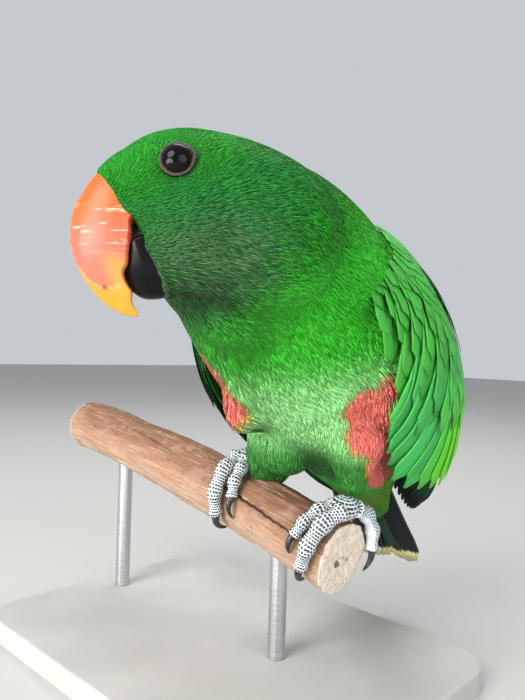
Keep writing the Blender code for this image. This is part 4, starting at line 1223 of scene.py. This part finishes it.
def feed(tree, node, **sockets):  # joins or sets a node's inputs, by name or as _0, _1 by number
    for label, value in sockets.items():
        target = node.inputs[int(label[1:]) if label[1:].isdigit() else label]
        if isinstance(value, bpy.types.NodeSocket):
            tree.links.new(value, target)
        else:
            target.default_value = value
    return node


def maths(tree, what, *values):
    node = tree.nodes.new("ShaderNodeMath")
    node.operation = what
    return feed(tree, node, **{"_%d" % i: value for i, value in enumerate(values)}).outputs[0]


def times(tree, first, second):
    return maths(tree, "MULTIPLY", first, second)


def plus(tree, first, second):
    return maths(tree, "ADD", first, second)


def ranged(tree, value, low, high, bottom=0.0, top=1.0, soft=True):
    node = tree.nodes.new("ShaderNodeMapRange")
    node.interpolation_type = "SMOOTHSTEP" if soft else "LINEAR"
    feed(tree, node, **{"Value": value, "From Min": low, "From Max": high, "To Min": bottom, "To Max": top})
    return node.outputs[0]


def mixed(tree, amount, first, second, how="MIX"):
    node = tree.nodes.new("ShaderNodeMix")
    node.data_type, node.blend_type = "RGBA", how
    first, second = ((*value, 1) if isinstance(value, tuple) else value for value in (first, second))
    return feed(tree, node, _0=amount, _6=first, _7=second).outputs[2]


def layered(tree, tone, *layers):  # each layer is how much of it there is, and its colour
    for amount, colour in layers:
        tone = mixed(tree, amount, tone, colour)
    return tone


def tinted(tree, colour, tint):
    return mixed(tree, 1.0, colour, tint, "MULTIPLY")


def ramp(tree, value, stops):
    node = tree.nodes.new("ShaderNodeValToRGB")
    while len(node.color_ramp.elements) < len(stops):
        node.color_ramp.elements.new(0.5)
    for element, (place, colour) in zip(node.color_ramp.elements, stops):
        element.position, element.color = place, (*colour, 1)
    return feed(tree, node, _0=value).outputs[0]


def readAttribute(tree, name, part="Vector"):
    node = tree.nodes.new("ShaderNodeAttribute")
    node.attribute_name = name
    return node.outputs[part]


def split(tree, vector):
    return feed(tree, tree.nodes.new("ShaderNodeSeparateXYZ"), _0=vector).outputs


def joined(tree, *parts):
    return feed(tree, tree.nodes.new("ShaderNodeCombineXYZ"), **dict(zip("XYZ", parts))).outputs[0]


def noise(tree, *parts, detail=2.0, rough=0.5):  # each part is a value and how much it is stretched
    place = joined(tree, *(times(tree, value, scale) for value, scale in parts))
    node = tree.nodes.new("ShaderNodeTexNoise")
    return feed(tree, node, Vector=place, Scale=1.0, Detail=detail, Roughness=rough).outputs[0]


def farFrom(tree, place, point):
    node = tree.nodes.new("ShaderNodeVectorMath")
    node.operation = "DISTANCE"
    return feed(tree, node, _0=place, _1=point).outputs["Value"]


# Barbs: fine lines that leave the shaft at a slant, and gaps and wear between them
def barbGroup():
    group, taken, given = newGroup("barbs", {"Lines": 18.0, "Slant": 0.8, "Spread": 3.0},
                                   ("Shade", "Shaft", "Edge", "Height"))
    across, along, own = split(group, readAttribute(group, "vane"))
    off = maths(group, "ABSOLUTE", across)
    slanted = maths(group, "SUBTRACT", along, times(group, off, taken["Slant"]))
    fine = noise(group, (slanted, taken["Lines"]), (across, taken["Spread"]), (own, 37.0),
                 detail=3.0, rough=0.6)
    wide = noise(group, (slanted, 3.0), (off, 1.0), (own, 91.0))
    shaft = ranged(group, off, 0.10, 0.03)
    both = plus(group, times(group, fine, 0.7), times(group, wide, 0.3))
    edge = maths(group, "MAXIMUM", ranged(group, off, 0.80, 1.0), ranged(group, along, 0.93, 1.0))
    feed(group, given, Shade=ranged(group, both, 0.30, 0.70), Shaft=shaft, Edge=edge,
         Height=plus(group, fine, shaft))
    return group


# Grain: soft blotches and fine specks by place, with the size of each set in millimetres
def grainGroup():
    group, taken, given = newGroup("grain", {"Blotch": 8.0, "Speck": 0.6}, ("Blotches", "Specks"))
    place = group.nodes.new("ShaderNodeTexCoord").outputs["Object"]
    for label, size, detail in (("Blotches", "Blotch", 2.0), ("Specks", "Speck", 3.0)):
        node = group.nodes.new("ShaderNodeTexNoise")
        feed(group, node, Vector=place, Scale=maths(group, "DIVIDE", 1000.0, taken[size]), Detail=detail)
        feed(group, given, **{label: ranged(group, node.outputs[0], 0.32, 0.68)})
    return group


barbs, flecks = barbGroup(), grainGroup()


def placeGroup(tree, group, **values):
    node = tree.nodes.new("ShaderNodeGroup")
    node.node_tree = group
    return feed(tree, node, **values).outputs


def newMaterial(name, **shine):
    material = bpy.data.materials.new(name)
    material.use_nodes = True
    tree = material.node_tree
    shader = tree.nodes["Principled BSDF"]
    for label, value in shine.items():
        shader.inputs[label.replace("_", " ")].default_value = value
    return material, tree, shader


def finished(made, tone, rough=None, bump=None):  # bump is a height, its strength and its distance
    material, tree, shader = made
    feed(tree, shader, **{"Base Color": tone})
    if rough is not None:
        feed(tree, shader, Roughness=rough)
    if bump:
        node = tree.nodes.new("ShaderNodeBump")
        feed(tree, node, Height=bump[0], Strength=bump[1], Distance=bump[2])
        feed(tree, shader, Normal=node.outputs[0])
    return material


def smallFeatherMaterial():
    made = newMaterial("small feathers", Roughness=0.62, Specular_IOR_Level=0.16)
    tree = made[1]
    line = placeGroup(tree, barbs, Lines=3.0, Slant=0.5, Spread=3.4)
    along = split(tree, readAttribute(tree, "vane"))[1]
    colour = readAttribute(tree, "coat", "Color")
    dark = tinted(tree, colour, (0.66, 0.68, 0.62))
    tone = mixed(tree, line["Shade"], dark, tinted(tree, colour, (1.30, 1.24, 1.35)))
    tone = mixed(tree, ranged(tree, along, 0.40, 0.0, 0.0, 0.5), tone, dark)
    return finished(made, tone, ranged(tree, line["Shade"], 0, 1, 0.70, 0.54), (line["Height"], 0.35, 0.0002))


def skinMaterial():
    made = newMaterial("plumage underlayer", Roughness=0.8, Specular_IOR_Level=0.2)
    tree = made[1]
    specks = placeGroup(tree, flecks, Blotch=5.0, Speck=0.5)["Specks"]
    colour = readAttribute(tree, "coat", "Color")
    tone = mixed(tree, specks, tinted(tree, colour, (0.5, 0.5, 0.5)), colour)
    return finished(made, tone, bump=(specks, 0.3, 0.0003))


vaneLooks = {  # colour at the edges and how much of it, colour of the underside, barb lines, tip
    "wing coverts": ((0.150, 0.600, 0.130), 0.40, (0.020, 0.110, 0.020), 34.0, None),
    "flight feathers": ((0.170, 0.660, 0.130), 0.42, (0.010, 0.032, 0.026), 60.0, None),
    "tail feathers": ((0.020, 0.200, 0.080), 0.40, (0.005, 0.007, 0.007), 70.0, (0.72, 0.66, 0.30)),
}


def vaneMaterial(name):
    edgeColour, edgeAmount, below, lines, tip = vaneLooks[name]
    made = newMaterial(name, Roughness=0.55, Specular_IOR_Level=0.22)
    tree = made[1]
    line = placeGroup(tree, barbs, Lines=lines, Slant=0.30, Spread=1.4)
    across, along, own = split(tree, readAttribute(tree, "vane"))
    colour = readAttribute(tree, "coat", "Color")
    dark, light = tinted(tree, colour, (0.70, 0.74, 0.74)), tinted(tree, colour, (1.28, 1.18, 1.20))
    tone = layered(tree, mixed(tree, line["Shade"], dark, light),
                   (times(tree, line["Edge"], edgeAmount), edgeColour),
                   (times(tree, line["Shaft"], 0.22), (0.01, 0.05, 0.012)))
    under = mixed(tree, line["Shade"], tuple(c * 0.6 for c in below), tuple(c * 1.5 for c in below))
    tone = mixed(tree, readAttribute(tree, "upper", "Fac"), under, tone)
    if tip:
        wander = times(tree, noise(tree, (across, 4.0), (along, 1.0), (own, 53.0), detail=3.0), 0.10)
        tone = mixed(tree, ranged(tree, plus(tree, along, wander), 0.925, 0.955), tone, tip)
    return finished(made, tone, bump=(line["Height"], 0.4, 0.00025))


def eyeMaterial():  # by the angle from where the eye looks: pupil, brown iris, dark rim
    made = newMaterial("eye", Roughness=0.06, Specular_IOR_Level=0.12, Coat_Weight=0.04, Coat_Roughness=0.05)
    tree = made[1]
    specks = placeGroup(tree, flecks, Blotch=1.2, Speck=0.25)["Specks"]
    edge = plus(tree, readAttribute(tree, "fromGaze", "Fac"), times(tree, specks, 3.0))
    iris = mixed(tree, specks, (0.09, 0.026, 0.007), (0.30, 0.095, 0.022))
    tone = mixed(tree, ranged(tree, edge, 53.0, 57.0), (0.002, 0.002, 0.002), iris)
    return finished(made, mixed(tree, ranged(tree, edge, 60.0, 65.0), tone, (0.006, 0.005, 0.005)))


def lidMaterial():
    made = newMaterial("eyelid skin", Roughness=0.55)
    specks = placeGroup(made[1], flecks, Blotch=1.4, Speck=0.30)["Specks"]
    tone = mixed(made[1], specks, (0.006, 0.007, 0.008), (0.060, 0.064, 0.062))
    return finished(made, tone, bump=(specks, 0.6, 0.0002))


upperBillTones = [  # from the forehead down to the tip: orange, coral, then yellow
    (0.00, (0.62, 0.075, 0.008)), (0.24, (0.66, 0.090, 0.016)), (0.38, (0.70, 0.10, 0.050)),
    (0.56, (0.72, 0.12, 0.085)), (0.665, (0.73, 0.14, 0.085)), (0.685, (0.80, 0.30, 0.130)),
    (0.705, (0.70, 0.25, 0.030)), (0.87, (0.66, 0.27, 0.022)), (1.0, (0.54, 0.28, 0.024))]


def upperBillMaterial():  # places are in millimetres in the head's frame
    made = newMaterial("coral horn", Roughness=0.36, Specular_IOR_Level=0.28, Subsurface_Weight=0.12,
                       Subsurface_Radius=(0.004, 0.0015, 0.0008), Subsurface_Scale=0.5)
    tree = made[1]
    place = readAttribute(tree, "billPlace")
    ahead, left, up = split(tree, place)
    drop = maths(tree, "SUBTRACT", times(tree, ahead, 0.34), times(tree, up, 0.94))
    fleck = placeGroup(tree, flecks, Blotch=4.0, Speck=0.35)
    ridge = times(tree, ranged(tree, maths(tree, "ABSOLUTE", left), 4.2, 1.0), ranged(tree, drop, 20.0, 28.0))
    wander = plus(tree, plus(tree, drop, times(tree, fleck["Blotches"], 1.6)), times(tree, ridge, 6.0))
    rim = times(tree, ranged(tree, ahead, 30.5, 24.5), ranged(tree, drop, 22.0, 30.0))
    rows = noise(tree, (drop, 0.85), (left, 0.20), (ahead, 0.14), detail=4.0, rough=0.62)
    band = times(tree, ranged(tree, drop, 9.0, 14.0), ranged(tree, drop, 27.0, 20.0))
    lines = times(tree, band, ranged(tree, rows, 0.54, 0.64))
    spot = farFrom(tree, place, (30.0, 4.0, -25.0))
    tone = layered(tree, ramp(tree, ranged(tree, wander, 0.0, 50.0, soft=False), upperBillTones),
                   (times(tree, rim, 0.7), (0.76, 0.36, 0.05)),
                   (times(tree, lines, 0.62), (0.90, 0.50, 0.40)),
                   (ranged(tree, spot, 1.1, 0.5, 0.0, 0.7), (0.10, 0.03, 0.01)))
    height = plus(tree, rows, times(tree, fleck["Specks"], 0.3))
    return finished(made, tone, ranged(tree, lines, 0, 1, 0.28, 0.55), (height, 0.25, 0.0003))


def lowerBillMaterial():
    made = newMaterial("black horn", Specular_IOR_Level=0.16)
    tree = made[1]
    ahead, left, up = split(tree, readAttribute(tree, "billPlace"))
    specks = placeGroup(tree, flecks, Blotch=2.0, Speck=0.3)["Specks"]
    scratch = noise(tree, (ahead, 0.5), (left, 0.5), (up, 3.4), detail=4.0, rough=0.7)
    lines = ranged(tree, scratch, 0.60, 0.74)
    tone = mixed(tree, lines, (0.002, 0.002, 0.003), (0.020, 0.020, 0.021))
    tone = mixed(tree, ranged(tree, specks, 0.97, 1.0, 0.0, 0.25), tone, (0.10, 0.09, 0.09))
    return finished(made, tone, ranged(tree, lines, 0, 1, 0.22, 0.55), (scratch, 0.15, 0.0003))


def footMaterial():
    made = newMaterial("scaly skin")
    tree = made[1]
    specks = placeGroup(tree, flecks, Blotch=2.2, Speck=0.35)["Specks"]
    skinTone = mixed(tree, specks, (0.54, 0.60, 0.64), (0.76, 0.82, 0.86))
    scaleTone = mixed(tree, specks, (0.008, 0.009, 0.011), (0.060, 0.064, 0.072))
    scale = plus(tree, readAttribute(tree, "scale", "Fac"), times(tree, specks, 0.10))
    amount = ranged(tree, scale, 0.60, 0.84)
    return finished(made, mixed(tree, amount, skinTone, scaleTone), ranged(tree, amount, 0, 1, 0.62, 0.38),
                    (specks, 0.3, 0.0002))


def clawMaterial():
    made = newMaterial("claw horn", Specular_IOR_Level=0.55)
    fleck = placeGroup(made[1], flecks, Blotch=1.6, Speck=0.35)
    tone = mixed(made[1], fleck["Blotches"], (0.008, 0.008, 0.010), (0.045, 0.043, 0.045))
    rough = ranged(made[1], fleck["Specks"], 0, 1, 0.22, 0.42)
    return finished(made, tone, rough, (fleck["Specks"], 0.15, 0.0002))


barkTones = [  # from the underside up to the top
    (0.0, (0.41, 0.28, 0.20)), (0.35, (0.37, 0.225, 0.15)),
    (0.65, (0.30, 0.160, 0.100)), (1.0, (0.20, 0.095, 0.055))]


def woodMaterial():
    made = newMaterial("bare branch wood", Specular_IOR_Level=0.25)
    tree = made[1]
    s, up, front = split(tree, readAttribute(tree, "grainPlace"))
    fibre, broad, sawn, pitted = (
        noise(tree, (s, long), (up, high), (front, deep), detail=detail, rough=rough)
        for long, high, deep, detail, rough in (
            (45.0, 1400.0, 1400.0, 5.0, 0.65), (14.0, 190.0, 190.0, 3.0, 0.6), (300.0, 420.0, 900.0, 4.0, 0.7),
            (260.0, 900.0, 900.0, 2.0, 0.5)))
    fleck = placeGroup(tree, flecks, Blotch=9.0, Speck=0.5)
    level = plus(tree, up, times(tree, maths(tree, "SUBTRACT", broad, 0.5), 0.016))
    # painted shade in the cracks, darkest where they are deepest
    crackShade = plus(tree, readAttribute(tree, "crackShade", "Fac"), times(tree, fibre, 0.25))
    pith = farFrom(tree, joined(tree, 0.0, up, front), (0.0, -0.0015, 0.0040))
    pits = ranged(tree, pitted, 0.68, 0.76)
    endTone = mixed(tree, ranged(tree, sawn, 0.35, 0.65), (0.64, 0.53, 0.42), (0.84, 0.73, 0.61))
    endTone = mixed(tree, ranged(tree, pith, 0.0019, 0.0011, 0.0, 0.85), endTone, (0.06, 0.028, 0.014))
    tone = layered(tree, ramp(tree, ranged(tree, level, -0.012, 0.012), barkTones),
                   (ranged(tree, fibre, 0.50, 0.70, 0.0, 0.50), (0.62, 0.46, 0.34)),
                   (ranged(tree, fibre, 0.44, 0.28, 0.0, 0.6), (0.14, 0.068, 0.040)),
                   (ranged(tree, fleck["Blotches"], 0.6, 1.0, 0.0, 0.20), (0.52, 0.37, 0.28)),
                   # painted shade inside the cracks
                   (ranged(tree, crackShade, 0.45, 0.95, 0.0, 0.92), (0.030, 0.014, 0.008)),
                   (readAttribute(tree, "cutFace", "Fac"), endTone),
                   (times(tree, pits, 0.7), (0.10, 0.045, 0.026)))
    height = plus(tree, fibre, maths(tree, "SUBTRACT", times(tree, broad, 0.6), pits))
    return finished(made, tone, ranged(tree, fibre, 0.3, 0.7, 0.72, 0.92), (height, 0.9, 0.0008))


def paintMaterial():
    made = newMaterial("matt base paint", Specular_IOR_Level=0.35)
    tree = made[1]
    fleck = placeGroup(tree, flecks, Blotch=40.0, Speck=0.7)
    tone = mixed(tree, fleck["Blotches"], (0.40, 0.39, 0.37), (0.45, 0.44, 0.42))
    tone = mixed(tree, ranged(tree, fleck["Specks"], 0.85, 1.0, 0.0, 0.3), tone, (0.52, 0.51, 0.49))
    rough = ranged(tree, fleck["Blotches"], 0, 1, 0.55, 0.66)
    return finished(made, tone, rough, (fleck["Specks"], 0.12, 0.0002))


def steelMaterial():
    made = newMaterial("brushed steel", Metallic=1.0)
    tree = made[1]
    x, y, z = split(tree, tree.nodes.new("ShaderNodeTexCoord").outputs["Object"])
    lines = noise(tree, (x, 60.0), (y, 60.0), (z, 5200.0), detail=3.0, rough=0.6)
    tone = mixed(tree, lines, (0.46, 0.46, 0.47), (0.66, 0.66, 0.67))
    return finished(made, tone, ranged(tree, lines, 0.3, 0.7, 0.24, 0.42), (lines, 0.06, 0.0001))


def wear(material, *objects):
    for obj in objects:
        obj.data.materials.clear()
        obj.data.materials.append(material)


wear(smallFeatherMaterial(), *coat)
wear(skinMaterial(), skin)
for material, pieces in zip(("wing coverts", "flight feathers"), zip(*wings.values())):
    wear(vaneMaterial(material), *pieces)
wear(vaneMaterial("tail feathers"), tail)
wear(eyeMaterial(), *eyes.values())
wear(lidMaterial(), *lids.values())
wear(upperBillMaterial(), bills["upper"])
wear(lowerBillMaterial(), bills["lower"])
wear(lidMaterial(), mouth)
wear(footMaterial(), *feet.values())
wear(clawMaterial(), *claws.values())
wear(woodMaterial(), branch)
for node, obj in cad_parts.items():
    if node.startswith("stand_"):
        material = paintMaterial() if "base" in node else steelMaterial()
        for place in obj.material_slots:
            place.material = material
print("stage: materials")

# What stands for which solid, and what each new piece is made of
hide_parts("head", "neck", "torso", "leg_left", "leg_right")
for side in sideSign:
    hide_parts("wing_" + side)
    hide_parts("eye_" + side)
    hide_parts("foot_" + side)
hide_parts("tail")
for half, bill in bills.items():
    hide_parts("bill_" + half)
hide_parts("perch")
for (side, toe), claw in claws.items():
    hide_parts("claw_" + side + "_" + toe)

slots = {
    "head_feathers": [piece for piece in coat if piece.name.startswith("head")],
    "body_feathers": [skin] + [piece for piece in coat if not piece.name.startswith("head")],
    "wing_feathers": [piece for pair in wings.values() for piece in pair],
    "tail_feathers": [tail],
    "upper_bill": [bills["upper"]],
    "lower_bill": [bills["lower"], mouth],
    "eye": [*eyes.values(), *lids.values()],
    "scaly_skin": feet.values(),
    "claw": claws.values(),
    "branch_wood": [branch],
}
for slotName, pieces in slots.items():
    for piece in pieces:
        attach(piece, "root")

# The camera stands where the photograph's did: level, rolled a little, to the front left of the bird
view = {
    "azimuth": math.radians(43.7), "roll": math.radians(1.8), "offset": (0.1938, -0.2182, 0.0812),
    "sensor": 36.0, "lens": 643 * 36 / 700,  # 643 pixels of the photograph's 700
}


def buildCamera():
    azimuth, roll = view["azimuth"], view["roll"]
    ahead = Vector((-math.sin(azimuth), math.cos(azimuth), 0))
    right, up = Vector((math.cos(azimuth), math.sin(azimuth), 0)), Vector((0, 0, 1))
    tilted = right * math.cos(roll) + up * math.sin(roll)
    upright = up * math.cos(roll) - right * math.sin(roll)
    data = bpy.data.cameras.new("camera")
    data.lens, data.sensor_width, data.sensor_fit = view["lens"], view["sensor"], "AUTO"
    data.clip_start, data.clip_end = 0.01, 30
    camera = addObject("camera", data)
    camera.matrix_world = Matrix((tilted, upright, -ahead)).transposed().to_4x4()
    camera.location = Vector(pose["perchPoint"] + np.array(view["offset"]))
    bpy.context.scene.camera = camera


lamps = {  # place, aim, size, power, colour
    "key": ((0.10, -1.05, 0.85), (0.03, -0.03, 0.13), 0.80, 16.0, (1.0, 0.97, 0.93)),
    "fill": ((1.20, -0.30, 0.40), (0.03, 0.0, 0.12), 1.0, 9.0, (0.96, 0.98, 1.0)),
    "low": ((0.05, -1.00, -0.02), (0.05, -0.04, 0.13), 0.8, 25.0, (1.0, 1.0, 0.98)),
    "top": ((-0.30, 0.50, 1.20), (0.03, 0.0, 0.12), 0.9, 8.0, (1.0, 1.0, 1.0)),
}


studio = {"floor": (0.46, 0.45, 0.435, 1), "floorSize": 8, "sky": (0.80, 0.84, 0.88, 1), "skyPower": 0.70}


def buildStudio():
    for name, (place, aim, size, power, colour) in lamps.items():
        data = bpy.data.lights.new(name, "AREA")
        data.shape, data.size, data.energy, data.color = "DISK", size, power, colour
        lamp = addObject(name, data)
        lamp.location = place
        lamp.rotation_euler = (Vector(aim) - Vector(place)).to_track_quat("-Z", "Y").to_euler()
    bpy.ops.object.select_all(action="DESELECT")
    bpy.ops.mesh.primitive_plane_add(size=studio["floorSize"])
    floor = bpy.context.object
    floor.name = "studio_floor"
    material, _, shader = newMaterial("pale floor", Roughness=0.85)
    shader.inputs["Base Color"].default_value = studio["floor"]
    wear(material, floor)
    world = bpy.data.worlds.new("studio")
    world.use_nodes = True
    sky = world.node_tree.nodes["Background"]
    sky.inputs[0].default_value, sky.inputs[1].default_value = studio["sky"], studio["skyPower"]
    bpy.context.scene.world = world
    bpy.context.scene.view_settings.view_transform = "Standard"


buildCamera()
buildStudio()
